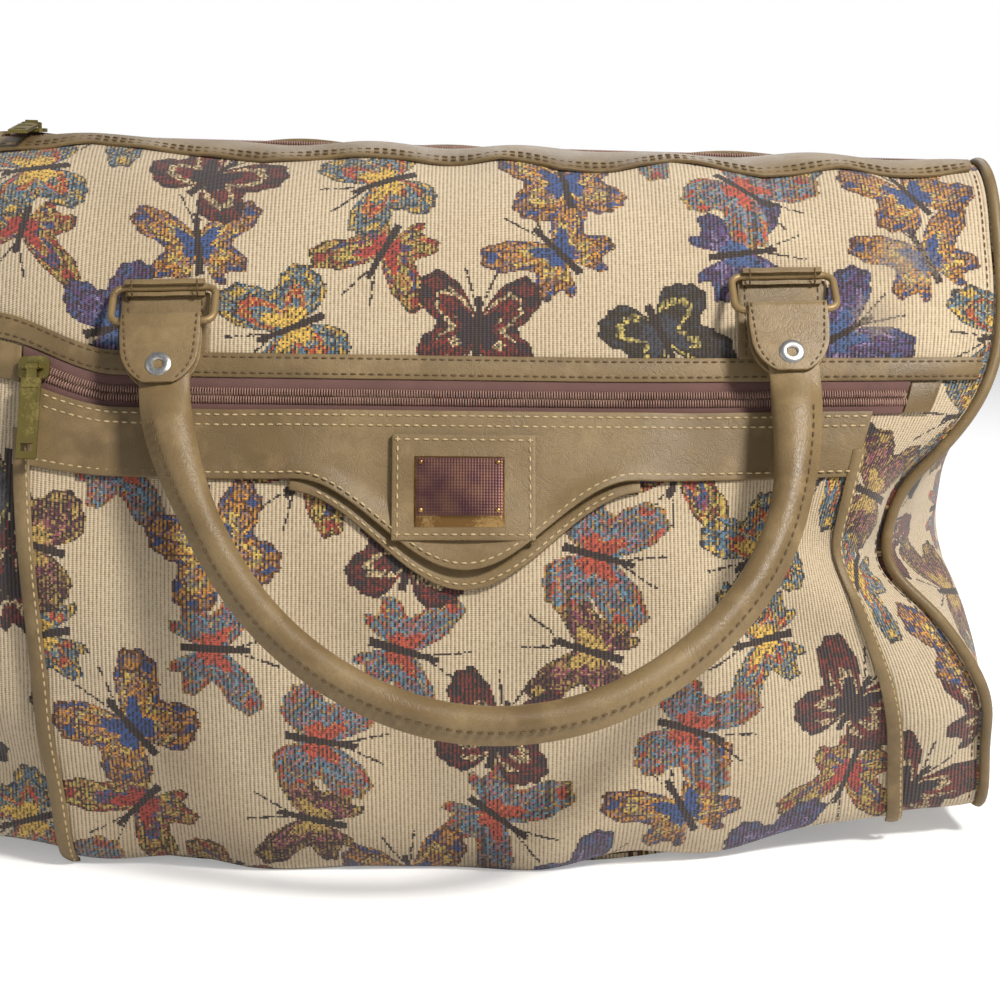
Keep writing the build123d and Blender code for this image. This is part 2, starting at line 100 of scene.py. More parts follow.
@dataclass(frozen=True)
class BagForm:
    """The outside of the bag, as places on its skin."""

    half_length: float = 252.0
    height: float = 345.0
    girth: float = 401.11
    ridge_slope: float = -0.0275
    left_lift: float = 9.0
    right_lift: float = 16.0
    narrowing: float = 0.13
    corner_rise: float = 16.0
    back_tuck: float = 16.0
    left_tuck: float = 12.0
    right_tuck: float = 40.0
    dent_height: float = 156.0
    dent_reach: float = 58.0
    dent_depth: float = 22.0
    slump: float = 58.0
    strap_down: float = 137.0
    depths: tuple[float, ...] = (
        0, 9.9, 19.5, 28.3, 36.5, 43.9, 50.8, 57.1, 63.0, 68.3, 73.1, 77.4, 81.2, 84.9,
        88.4, 92.0, 95.5, 99.0, 102.4, 105.7, 108.9, 111.8, 114.5, 116.9, 118.9, 120.6,
        121.8, 122.7, 123.1, 123.2, 122.9, 122.4, 121.6, 120.7, 119.5, 118.1, 116.4,
        113.8, 110.0, 104.1, 95.0,
    )
    heights: tuple[float, ...] = (
        345.0, 343.7, 340.6, 336.0, 330.2, 323.4, 316.1, 308.4, 300.2, 291.8, 282.9,
        273.9, 264.6, 255.3, 245.9, 236.5, 227.1, 217.7, 208.3, 198.8, 189.3, 179.7,
        170.0, 160.3, 150.5, 140.6, 130.7, 120.7, 110.7, 100.6, 90.6, 80.6, 70.6, 60.6,
        50.6, 40.7, 30.8, 21.2, 11.9, 3.9, 0.0,
    )

    def section(self, down: Array) -> tuple[Array, Array]:
        """Depth and height on the middle section, a distance down from the ridge.

        Args:
            down: distance down from the ridge, in millimetres.

        Returns:
            The depths and the heights.
        """
        depths, heights = np.array(self.depths), np.array(self.heights)
        place = np.clip(down / self.girth * (len(depths) - 1), 0, len(depths) - 1.0001)
        i = place.astype(int)
        t = place - i
        before, after = np.maximum(i - 1, 0), np.minimum(i + 2, len(depths) - 1)

        def blend(v: Array) -> Array:
            """A smooth curve through the rows of the table.

            Args:
                v: one column of the table.

            Returns:
                Its value at each place.
            """
            slope0, slope1 = (v[i + 1] - v[before]) / 2, (v[after] - v[i]) / 2
            return (
                (2 * t**3 - 3 * t**2 + 1) * v[i]
                + (t**3 - 2 * t**2 + t) * slope0
                + (3 * t**2 - 2 * t**3) * v[i + 1]
                + (t**3 - t**2) * slope1
            )

        return blend(depths), blend(heights)

    def lift(self, x: Array) -> Array:
        """How far the base stands off the floor towards the ends."""
        return self.left_lift * smooth((-x - 110) / 140) + self.right_lift * smooth((x - 50) / 200)

    def wall(self, x: Array, down: Array, side: Side) -> Array:
        """Points on the outside of the wall.

        Args:
            x: place along the bag, in millimetres.
            down: distance down from the ridge, in millimetres.
            side: front or back.

        Returns:
            One point per place.
        """
        depth, height = self.section(down)
        middle = height.copy()
        share = height / self.height
        low = 1 - smooth(height / 170)
        depth = depth * (1 - self.narrowing * (np.maximum(0.0, np.abs(x) - 190) / 62) ** 2)
        height = height + self.lift(x) * np.clip(1 - share, 0, 1) ** 1.5
        height = height + self.ridge_slope * x * share**2
        if side is Side.BACK:
            depth = depth - self.back_tuck * smooth((np.abs(x) - 80) / 170) * low
            return np.stack([x, depth, height], -1)
        tuck = self.left_tuck * smooth((-x - 90) / 160) + self.right_tuck * smooth((x - 30) / 220)
        rise = self.corner_rise * smooth((-170 - x) / 60) * np.exp(-(((down - 140) / 55) ** 2))
        level = np.exp(-(((middle - self.dent_height) / self.dent_reach) ** 2))
        reach = (np.maximum(0.0, x - 60) / (self.half_length - 60)) ** 2.4
        depth = depth - tuck * low - self.dent_depth * level**2 * reach - 0.36 * rise
        return np.stack([x - self.slump * level * reach, -depth, height + rise], -1)

    def folds(self, x: Array, down: Array, side: Side) -> Array:
        """Small waves of the cloth, outwards, still where the metalwork hangs.

        Args:
            x: place along the bag, in millimetres.
            down: distance down from the ridge, in millimetres.
            side: front or back.

        Returns:
            Heights off the wall, in millimetres.
        """
        still = 1 - smooth((np.abs(down - self.strap_down) - 42) / 40)
        phase = 1.7 if side is Side.BACK else 0.0
        wave = 1.3 * np.sin(x / 23 + down / 61 + phase) * np.sin(down / 37 + x / 90)
        wave += 0.9 * np.sin(x / 11.5 - down / 19 + 2 * phase)
        if side is Side.FRONT:
            reach = smooth((x - 90) / 110)
            fan = np.sin((down - 236 - 0.35 * (x - 150)) / 9.5) * np.exp(-(((down - 240) / 42) ** 2))
            wave += 2.8 * reach * fan
            sag = smooth((down - 285) / 60)
            slant = (down + 0.35 * x + 9 * np.sin(x / 47)) / 12
            wave += 3.2 * sag * np.sin(slant) * smooth((x + 90) / 180) * (0.6 + 0.4 * np.sin(x / 38))
            wave += 2.0 * sag * np.sin(x / 17 + 1 + down / 70)
            wave += 2.4 * smooth((-x - 60) / 120) * sag * np.sin((down - 0.3 * x) / 14)
        gather = np.exp(-(((down - 40) / 26) ** 2))
        wave += 1.5 * gather * np.sin(x / 13 + 0.6 * np.sin(x / 31) + phase)
        return wave * (1 - still)

    def skin(self, x: Array, down: Array, out: Array | float, side: Side) -> Array:
        """Points a distance out from the wall, on its folds.

        Args:
            x: place along the bag, in millimetres.
            down: distance down from the ridge, in millimetres.
            out: distance outwards, in millimetres.
            side: front or back.

        Returns:
            One point per place.
        """
        x, down = np.asarray(x, float), np.asarray(down, float)
        here = self.wall(x, down, side)
        along = self.wall(x + 1, down, side) - self.wall(x - 1, down, side)
        fall = self.wall(x, down + 1, side) - self.wall(x, down - 1, side)
        normal = np.cross(along, fall)
        normal /= np.linalg.norm(normal, axis=-1, keepdims=True)
        height = np.asarray(out) + self.folds(x, down, side)
        return here + normal * side.value * np.asarray(height)[..., None]

    def normal(self, x: float, down: float, side: Side) -> Array:
        """The outward direction at one place.

        Args:
            x: place along the bag, in millimetres.
            down: distance down from the ridge, in millimetres.
            side: front or back.

        Returns:
            A direction of length 1.
        """
        near, far = self.skin([x], [down], 0, side), self.skin([x], [down], 10, side)
        step = (far - near)[0]
        return step / np.linalg.norm(step)


@dataclass(frozen=True)
class Pocket:
    """The outline and fullness of the front pocket."""

    top: float = 168.5
    bottom: float = 394.0
    full: float = 7.0
    seam: float = 0.4
    wall: float = 2.2
    leather: float = 1.8
    scoop_centre: float = -4.0
    scoop_half: float = 80.0
    scoop_drop: float = 41.0
    flap_top: float = 167.0
    flap_edge: float = 200.0
    flap_lip: float = 2.6
    rim_half: float = 82.0
    rim_width: float = 9.0

    def side_at(self, end: End, down: Array) -> Array:
        """Where the pocket's edge runs."""
        fall = (down - 190) / 160
        return -212 + 12 * fall if end is End.LEFT else 194 + 12 * fall

    def fullness(self, x: Array, down: Array) -> Array:
        """How far the pocket stands off the wall.

        Args:
            x: place along the bag, in millimetres.
            down: distance down from the ridge, in millimetres.

        Returns:
            A distance, in millimetres.
        """
        left, right = self.side_at(End.LEFT, down), self.side_at(End.RIGHT, down)
        across = np.clip((x - left) / (right - left), 0, 1)
        along = np.clip((down - self.top) / (self.bottom - self.top), 0, 1)
        swell = np.minimum(1.0, 2.4 * np.sin(math.pi * across) ** 2)
        return self.full * swell * np.sin(math.pi * along) ** 2

    def on_pocket(self, x: Array, down: Array) -> Array:
        """Height of the leather that lies on the pocket."""
        return self.wall + 2 * self.seam + self.fullness(x, down) + self.leather

    def scoop(self, x: Array) -> Array:
        """The flap's lower edge."""
        reach = np.minimum(np.abs(x - self.scoop_centre) / self.scoop_half, 1.0)
        return self.flap_edge + self.scoop_drop * (0.5 + 0.5 * np.cos(math.pi * reach))

    def on_flap(self, x: Array, down: Array) -> Array:
        """Height of the flap's outer face."""
        over = (np.abs(x - self.scoop_centre) - self.scoop_half) / 30
        return self.on_pocket(x, down) + (self.leather + self.seam) * (1 - smooth(over))

    def lip(self, x: Array) -> Array:
        """Where the flap's edge lifts off the rim, from 0 to 1."""
        return 1 - smooth((np.abs(x - self.scoop_centre) - 60) / 30)

    def rim(self, x: Array) -> Array:
        """How far the rim shows below the flap."""
        return self.rim_width * (1 - 0.45 * np.abs((x - self.scoop_centre) / self.rim_half) ** 3)


BAG = BagForm()
POCKET = Pocket()


def laid(x: Array, down: Array, out: Array | float, side: Side) -> tuple[Array, Array]:
    """Points off the bag's skin, with their places on the flat cloth."""
    return BAG.skin(x, down, out, side), np.stack([x, down], -1)


class Value:
    """A number that varies over a surface: the output of a shader node."""

    def __init__(self, shader: "Shader", socket: bpy.types.NodeSocket) -> None:
        """Keep the socket and the material it belongs to."""
        self.shader = shader
        self.socket = socket

    def math(self, operation: str, *others: "Value | float", clamp: bool = False) -> "Value":
        """One Math node on this value."""
        return self.shader.math(operation, self, *others, clamp=clamp)

    def __add__(self, other: "Value | float") -> "Value":
        """This plus other."""
        return self.math("ADD", other)

    __radd__ = __add__

    def __sub__(self, other: "Value | float") -> "Value":
        """This minus other."""
        return self.math("SUBTRACT", other)

    def __rsub__(self, other: "Value | float") -> "Value":
        """Other minus this."""
        return self.shader.math("SUBTRACT", other, self)

    def __mul__(self, other: "Value | float") -> "Value":
        """This times other."""
        return self.math("MULTIPLY", other)

    __rmul__ = __mul__

    def __truediv__(self, other: "Value | float") -> "Value":
        """This over other."""
        return self.math("DIVIDE", other)

    def __rtruediv__(self, other: "Value | float") -> "Value":
        """Other over this."""
        return self.shader.math("DIVIDE", other, self)

    def __lt__(self, other: "Value | float") -> "Value":
        """1 where this is less."""
        return self.math("LESS_THAN", other)

    def __gt__(self, other: "Value | float") -> "Value":
        """1 where this is more."""
        return self.math("GREATER_THAN", other)

    def __abs__(self) -> "Value":
        """The size of this."""
        return self.math("ABSOLUTE")

    def floor(self) -> "Value":
        """The whole number below."""
        return self.math("FLOOR")

    def fract(self) -> "Value":
        """The part after the point."""
        return self.math("FRACT")

    def sin(self) -> "Value":
        """Sine."""
        return self.math("SINE")

    def cos(self) -> "Value":
        """Cosine."""
        return self.math("COSINE")

    def ramp(self, low: float, high: float) -> "Value":
        """From 0 at low to 1 at high, clamped."""
        return ((self - low) / (high - low)).math("ADD", 0.0, clamp=True)


class Shader:
    """A material under construction."""

    def __init__(self, name: str) -> None:
        """Start with a Principled surface.

        Args:
            name: the material's name.
        """
        self.material = bpy.data.materials.new(name)
        self.material.use_nodes = True
        self.tree = self.material.node_tree
        self.surface = self.tree.nodes["Principled BSDF"]

    def node(self, kind: str, settings: dict | None = None, **sockets: object) -> bpy.types.Node:
        """Add a node.

        Args:
            kind: the node's type name.
            settings: attributes that are set first.
            sockets: values or links, by socket name with spaces as underscores.

        Returns:
            The new node.
        """
        made = self.tree.nodes.new(kind)
        for key, value in (settings or {}).items():
            setattr(made, key, value)
        for key, value in sockets.items():
            if key.startswith("i") and key[1:].isdigit():
                self.feed(made.inputs[int(key[1:])], value)
            else:
                self.feed(made.inputs[key.replace("_", " ")], value)
        return made

    def feed(self, socket: bpy.types.NodeSocket, value: object) -> None:
        """Set a socket to a constant or link it.

        Args:
            socket: the node's input.
            value: a constant, a Value or a socket.
        """
        if isinstance(value, Value):
            self.tree.links.new(value.socket, socket)
        elif isinstance(value, bpy.types.NodeSocket):
            self.tree.links.new(value, socket)
        else:
            socket.default_value = value

    def math(self, operation: str, *values: Value | float, clamp: bool = False) -> Value:
        """A Math node on up to three values.

        Args:
            operation: the node's operation.
            values: its inputs.
            clamp: whether the result is kept from 0 to 1.

        Returns:
            The node's result.
        """
        made = self.node("ShaderNodeMath", {"operation": operation, "use_clamp": clamp})
        for socket, value in zip(made.inputs, values):
            self.feed(socket, value)
        return Value(self, made.outputs[0])

    def mix(self, factor: Value | float, a: object, b: object) -> bpy.types.NodeSocket:
        """Mix two colours.

        Args:
            factor: the second colour's share.
            a: the first colour.
            b: the second colour.

        Returns:
            The mixed colour.
        """
        made = self.node("ShaderNodeMix", {"data_type": "RGBA"})
        for index, value in ((0, factor), (6, a), (7, b)):
            self.feed(made.inputs[index], value)
        return made.outputs[2]

    def pick(self, factor: Value, colours: Sequence[tuple]) -> bpy.types.NodeSocket:
        """One colour of a set, by a number from 0 to 1.

        Args:
            factor: from 0 to 1.
            colours: the set, in order.

        Returns:
            The colour.
        """
        made = self.node("ShaderNodeValToRGB")
        ramp = made.color_ramp
        ramp.interpolation = "CONSTANT"
        while len(ramp.elements) < len(colours):
            ramp.elements.new(0.5)
        for k, (element, colour) in enumerate(zip(ramp.elements, colours)):
            element.position = k / len(colours)
            element.color = colour
        self.feed(made.inputs[0], factor)
        return made.outputs[0]

    def curve(self, factor: Value, points: Sequence[tuple[float, float]]) -> Value:
        """A smooth curve through points, both from 0 to 1.

        Args:
            factor: from 0 to 1.
            points: the curve's knots.

        Returns:
            The curve's height.
        """
        made = self.node("ShaderNodeFloatCurve")
        line = made.mapping.curves[0]
        line.points[0].location, line.points[1].location = points[0], points[-1]
        for point in points[1:-1]:
            line.points.new(*point)
        made.mapping.update()
        self.feed(made.inputs["Value"], factor)
        return Value(self, made.outputs[0])

    def object_space(self) -> bpy.types.NodeSocket:
        """Object coordinates."""
        return self.node("ShaderNodeTexCoord").outputs["Object"]

    def cloth_space(self) -> tuple[Value, Value]:
        """The piece's own UV map in millimetres.

        Returns:
            The places across and down.
        """
        uv = self.node("ShaderNodeUVMap", {"uv_map": "UVMap"}).outputs[0]
        split = self.node("ShaderNodeSeparateXYZ", Vector=uv)
        return Value(self, split.outputs[0]) * 1000.0, Value(self, split.outputs[1]) * 1000.0

    def noise(self, scale: float, detail: float = 3.0, rough: float = 0.5) -> Value:
        """Soft noise on object coordinates.

        Args:
            scale: waves to a metre.
            detail: how many finer layers.
            rough: how strong the finer layers are.

        Returns:
            A number about 0.5.
        """
        place = self.object_space()
        made = self.node("ShaderNodeTexNoise", Vector=place, Scale=scale, Detail=detail, Roughness=rough)
        return Value(self, made.outputs["Fac"])

    def hash(self, x: Value, y: Value, seed: float) -> tuple[Value, Value, Value, Value]:
        """Four random numbers for a whole-number place.

        Args:
            x: a whole number.
            y: a second whole number.
            seed: sets one set of numbers apart from another.

        Returns:
            Four numbers from 0 to 1.
        """
        place = self.node("ShaderNodeCombineXYZ", X=x, Y=y, Z=seed).outputs[0]
        noise = self.node("ShaderNodeTexWhiteNoise", {"noise_dimensions": "3D"}, Vector=place)
        split = self.node("ShaderNodeSeparateColor", Color=noise.outputs["Color"])
        parts = [Value(self, split.outputs[k]) for k in range(3)]
        return parts[0], parts[1], parts[2], Value(self, noise.outputs["Value"])

    def bump(self, height: Value, strength: float, distance: float) -> None:
        """Raise the surface by a height in millimetres."""
        made = self.node("ShaderNodeBump", Strength=strength, Distance=distance * MM, Height=height)
        self.tree.links.new(made.outputs[0], self.surface.inputs["Normal"])

    def set(self, **sockets: object) -> None:
        """Set the surface's sockets."""
        for key, value in sockets.items():
            self.feed(self.surface.inputs[key.replace("_", " ")], value)


@dataclass(frozen=True)
class Wing:
    """One family of butterflies: wing outline by angle from the head, and its size."""

    outline: tuple[tuple[float, float], ...]
    pitch: tuple[float, float]
    shift: tuple[float, float]
    span: float
    seed: float


BROAD = Wing(
    outline=(
        (0.0, 0.10), (0.08, 0.34), (0.16, 0.80), (0.23, 0.98), (0.31, 0.92), (0.40, 0.66),
        (0.47, 0.52), (0.55, 0.66), (0.65, 0.80), (0.75, 0.74), (0.85, 0.62), (0.93, 0.26),
        (1.0, 0.12),
    ),
    pitch=(87.0, 84.0),
    shift=(0.0, 0.0),
    span=41.0,
    seed=3.0,
)
SLIM = Wing(
    outline=(
        (0.0, 0.08), (0.12, 0.30), (0.22, 0.74), (0.30, 0.99), (0.38, 0.86), (0.46, 0.50),
        (0.52, 0.44), (0.60, 0.62), (0.69, 0.72), (0.78, 0.55), (0.86, 0.66), (0.92, 0.30),
        (1.0, 0.10),
    ),
    pitch=(87.0, 84.0),
    shift=(45.0, 42.0),
    span=40.0,
    seed=11.0,
)


@dataclass(frozen=True)
class Tapestry:
    """Ribbed cream tapestry with woven butterflies."""

    name: str = "tapestry"
    cream: tuple = linear(203, 184, 154)
    thread: float = 0.95
    rib: float = 1.9
    drift: tuple[float, float] = (0.0, 0.0)
    rubbed: tuple[tuple[float, float, float], ...] = ()
    hatch_thread: tuple = linear(40, 38, 36)
    body_thread: tuple = linear(44, 38, 40)
    worn_thread: tuple = linear(150, 136, 118)
    main_colours: tuple = (
        linear(46, 42, 34), linear(106, 142, 160), linear(98, 70, 116), linear(126, 44, 44),
        linear(212, 148, 66), linear(88, 42, 62), linear(92, 128, 150), linear(196, 172, 92),
    )
    band_colours: tuple = (
        linear(204, 184, 104), linear(84, 118, 140), linear(150, 128, 172), linear(222, 194, 146),
        linear(222, 188, 96), linear(146, 76, 96), linear(190, 76, 58), linear(60, 84, 128),
    )
    spot_colours: tuple = (
        linear(60, 66, 78), linear(190, 84, 66), linear(70, 98, 146), linear(44, 38, 52),
        linear(52, 84, 140), linear(198, 164, 92), linear(226, 184, 88), linear(178, 64, 58),
    )
    line_colours: tuple = (
        linear(40, 36, 34), linear(182, 150, 82), linear(54, 46, 66), linear(44, 30, 38),
        linear(108, 62, 38), linear(36, 28, 40), linear(46, 56, 74), linear(52, 44, 36),
    )

    def butterflies(
        self, shader: Shader, u: Value, v: Value, wing: Wing, under: object
    ) -> tuple[bpy.types.NodeSocket, Value]:
        """Weave one family of butterflies over a colour.

        Args:
            shader: the material.
            u: place along the cloth, in millimetres.
            v: place down the cloth, in millimetres.
            wing: the family.
            under: the colour below it.

        Returns:
            The new colour and the mask of the butterflies.
        """
        wide, tall = wing.pitch
        row = ((v + wing.shift[1]) / tall).floor()
        across = (u + wing.shift[0]) / wide + row * 0.5
        column = across.floor()
        spin, nudge, tone, chance = shader.hash(column, row, wing.seed)
        x = (across.fract() - 0.5) * wide + (nudge - 0.5) * 5.0
        y = (((v + wing.shift[1]) / tall).fract() - 0.5) * tall + (tone - 0.5) * 2.0
        angle = spin * 6.2832
        turn_cos, turn_sin = angle.cos(), angle.sin()
        px = abs(x * turn_cos - y * turn_sin)
        py = x * turn_sin + y * turn_cos
        radius = (px * px + py * py).math("SQRT")
        bearing = px.math("ARCTAN2", py) / math.pi
        size = wing.span * (0.88 + tone * 0.12)
        edge = shader.curve(bearing, wing.outline) * size
        frill = (bearing * 88.0).sin() * 0.022
        depth = radius / edge + frill
        inside = depth < 1.0
        veins = (bearing * 34.0 + chance * 5.0).sin()
        main = shader.pick(chance, self.main_colours)
        band = shader.pick(chance, self.band_colours)
        spot = shader.pick(chance, self.spot_colours)
        line = shader.pick(chance, self.line_colours)
        strands = shader.hash((u / self.thread).floor(), (v / self.thread).floor(), 5.0)
        swirl = (depth * 13.0 + bearing * 30.0 * (nudge - 0.4) + (bearing * 17.0).sin() * 1.4).sin()
        colour = shader.mix((swirl + strands[1] * 0.5 > 0.5) * (depth > 0.2), main, band)
        heart = (depth + (bearing * 21.0).sin() * 0.05) < 0.36
        colour = shader.mix(heart, colour, spot)
        hem = depth > 0.74
        dots = ((bearing * 46.0).sin() > 0.25) * (depth > 0.8) * (depth < 0.92)
        colour = shader.mix(hem, colour, main)
        colour = shader.mix(dots, colour, spot)
        ribs = (abs(veins) < 0.16) * (depth > 0.3)
        rim = (depth > 0.93) * (strands[1] > 0.22) + ribs
        hem_line = (depth > 0.71) * (depth < 0.75)
        colour = shader.mix((rim + hem_line).math("ADD", 0.0, clamp=True), colour, line)
        fleck = (strands[3] > 0.66) * 0.6
        colour = shader.mix(fleck, colour, shader.mix(strands[0] > 0.5, band, spot))
        warp_end = ((u / self.rib).fract() < 0.5) * (strands[2] + depth * 0.5 > 0.56)
        twill = ((u + v) / (2 * self.rib)).fract() < 0.34
        hatch = (warp_end * 0.74 + twill * (strands[1] > 0.3) * 0.5).math("ADD", 0.0, clamp=True)
        colour = shader.mix(hatch, colour, self.hatch_thread)
        body = (px < 1.7 - py * 0.02) * (abs(py - 1.0) < wing.span * 0.42)
        feeler = (abs(px - (py - 9.0) * 0.34) < 0.6) * (py > 9.0) * (py < wing.span * 0.78)
        feeler = feeler * (strands[2] > 0.25)
        dark = (body + feeler).math("ADD", 0.0, clamp=True)
        colour = shader.mix(dark, colour, self.body_thread)
        mask = (inside + dark).math("ADD", 0.0, clamp=True)
        return shader.mix(mask, under, colour), mask

    def build(self) -> bpy.types.Material:
        """Make the material.

        Returns:
            The finished material.
        """
        shader = Shader(self.name)
        u, v = shader.cloth_space()
        u, v = u + self.drift[0], v + self.drift[1]
        warp = (u / self.thread).floor() * self.thread
        weft = (v / (self.thread * 0.9)).floor() * (self.thread * 0.9)
        strand = shader.hash((u / self.thread).floor(), (v / self.thread).floor(), 1.0)
        wander = shader.noise(7.0, 2.0)
        wide = shader.noise(26.0, 3.0)
        ground = shader.mix(wander.ramp(0.35, 0.7) * 0.5, self.cream, linear(228, 211, 180))
        ground = shader.mix(strand[3] * 0.22, ground, linear(164, 140, 104))
        ground = shader.mix((wide > 0.66) * 0.16, ground, linear(176, 158, 128))
        colour, first = self.butterflies(shader, warp, weft, SLIM, ground)
        colour, second = self.butterflies(shader, warp, weft, BROAD, colour)
        drawn = (first + second).math("ADD", 0.0, clamp=True)
        rib = (u * (2 * math.pi / self.rib)).sin()
        pick = (v * (2 * math.pi / self.thread)).sin()
        # Painted shade: the rib furrows and the hollows between weft picks, the low places of the bump, are
        # darkened.
        furrow_shade = (rib < -0.3) * (0.34 + strand[0] * 0.3)
        colour = shader.mix(furrow_shade * (1 - drawn * 0.5), colour, linear(110, 86, 60))
        colour = shader.mix((pick < -0.4) * 0.16, colour, linear(96, 78, 58))
        for at_u, at_v, reach in self.rubbed:
            du, dv = u - at_u - self.drift[0], v - at_v - self.drift[1]
            far = (du * du + dv * dv).math("SQRT") / reach + (wide - 0.5) * 2.4 + (strand[3] - 0.5) * 0.9
            colour = shader.mix((1 - far.ramp(0.4, 1.0)) * 0.55, colour, self.worn_thread)
        shader.set(Base_Color=colour, Roughness=0.92, Specular_IOR_Level=0.2)
        shader.surface.inputs["Sheen Weight"].default_value = 0.25
        shader.surface.inputs["Sheen Roughness"].default_value = 0.6
        fuzz = shader.noise(900.0, 2.0)
        height = rib * 0.5 + pick * 0.28 + strand[1] * 0.35 * drawn + fuzz * 0.5 + drawn * 0.3
        shader.bump(height, 0.75, 0.35)
        return shader.material


@dataclass(frozen=True)
class Leather:
    """Khaki-tan leather with a fine grain, rubbed places, and painted shade darkening its creases and grain
    lines.
    """

    name: str
    colour: tuple
    rough: float = 0.48

    def build(self) -> bpy.types.Material:
        """Make the material.

        Returns:
            The finished material.
        """
        shader = Shader(self.name)
        r, g, b, _ = self.colour
        dark = (r * 0.56, g * 0.52, b * 0.46, 1.0)
        pale = (min(r * 1.42, 1.0), min(g * 1.42, 1.0), min(b * 1.46, 1.0), 1.0)
        cloud, patchy = shader.noise(16.0, 2.0, 0.6), shader.noise(70.0, 2.0, 0.6)
        grain = shader.node(
            "ShaderNodeTexVoronoi", {"feature": "DISTANCE_TO_EDGE"},
            Vector=shader.object_space(), Scale=1300.0,
        )
        cells = Value(shader, grain.outputs[0])
        crease_noise = shader.node(
            "ShaderNodeTexNoise", {"noise_dimensions": "3D"}, Vector=shader.object_space(),
            Scale=90.0, Detail=3.0, Roughness=0.65, Distortion=1.4,
        )
        crease = 1 - abs(Value(shader, crease_noise.outputs["Fac"]) - 0.5) * 22.0
        crease = crease.math("ADD", 0.0, clamp=True)
        colour = shader.mix(cloud.ramp(0.35, 0.7), self.colour, dark)
        colour = shader.mix(patchy.ramp(0.52, 0.8) * 0.55, colour, pale)
        # Painted shade: the creases and the grain's cell edges, the grooves of the bump, are darkened.
        colour = shader.mix(crease * 0.22, colour, dark)
        colour = shader.mix((cells < 0.06) * 0.25, colour, dark)
        rough = self.rough + patchy * 0.22 - cloud * 0.1
        shader.set(Base_Color=colour, Roughness=rough, Specular_IOR_Level=0.45)
        height = cells * 1.2 + patchy * 0.7 - crease * 0.5
        shader.bump(height, 0.35, 0.35)
        return shader.material


@dataclass(frozen=True)
class Metal:
    """Plated or painted metal with light wear."""

    name: str
    colour: tuple
    worn: tuple
    metallic: float = 1.0
    rough: float = 0.3
    brushed: float = 60.0

    def build(self) -> bpy.types.Material:
        """Make the material.

        Returns:
            The finished material.
        """
        shader = Shader(self.name)
        cloud, fine = shader.noise(self.brushed, 4.0, 0.6), shader.noise(900.0, 3.0)
        wear = (cloud * 0.7 + fine * 0.3).ramp(0.52, 0.62)
        colour = shader.mix(wear * 0.75, self.colour, self.worn)
        shader.set(Base_Color=colour, Metallic=self.metallic, Roughness=self.rough + cloud * 0.22)
        shader.bump(fine + cloud, 0.2, 0.15)
        return shader.material


@dataclass(frozen=True)
class PlateFace:
    """Dark plum-brown face of the nameplate with a fine pressed lattice."""

    name: str = "plate_face"

    def build(self) -> bpy.types.Material:
        """Make the material.

        Returns:
            The finished material.
        """
        shader = Shader(self.name)
        u, v = shader.cloth_space()
        lattice = ((u + v) * 2.3).sin() * ((u - v) * 2.3).sin()
        cloud = shader.noise(120.0, 4.0)
        colour = shader.mix(cloud.ramp(0.35, 0.7), linear(92, 60, 62), linear(116, 82, 66))
        colour = shader.mix((lattice > 0.25) * 0.5, colour, linear(52, 36, 40))
        shader.set(Base_Color=colour, Metallic=0.75, Roughness=0.34 + cloud * 0.2)
        shader.bump(lattice, 0.5, 0.12)
        return shader.material


@dataclass(frozen=True)
class Webbing:
    """Woven zip tape."""

    name: str
    colour: tuple

    def build(self) -> bpy.types.Material:
        """Make the material.

        Returns:
            The finished material.
        """
        shader = Shader(self.name)
        u, v = shader.cloth_space()
        weave = (u * 5.2).sin() * (v * 5.2).sin()
        cloud = shader.noise(60.0, 3.0)
        r, g, b, _ = self.colour
        colour = shader.mix(cloud.ramp(0.3, 0.75) * 0.6, self.colour, (r * 0.6, g * 0.6, b * 0.6, 1))
        # Painted shade: the low threads of the weave, the hollows of the bump, are darkened.
        colour = shader.mix((weave < -0.1) * 0.4, colour, (r * 0.5, g * 0.5, b * 0.5, 1))
        shader.set(Base_Color=colour, Roughness=0.85)
        shader.bump(weave, 0.5, 0.2)
        return shader.material


@dataclass(frozen=True)
class Plain:
    """Thread, nylon, board or the dark plug of painted shade: one colour with soft mottling."""

    name: str
    colour: tuple
    rough: float = 0.7

    def build(self) -> bpy.types.Material:
        """Make the material.

        Returns:
            The finished material.
        """
        shader = Shader(self.name)
        cloud = shader.noise(320.0, 3.0)
        r, g, b, _ = self.colour
        colour = shader.mix(cloud.ramp(0.3, 0.7), self.colour, (r * 0.66, g * 0.66, b * 0.66, 1))
        shader.set(Base_Color=colour, Roughness=self.rough + cloud * 0.15)
        shader.bump(cloud, 0.25, 0.1)
        return shader.material


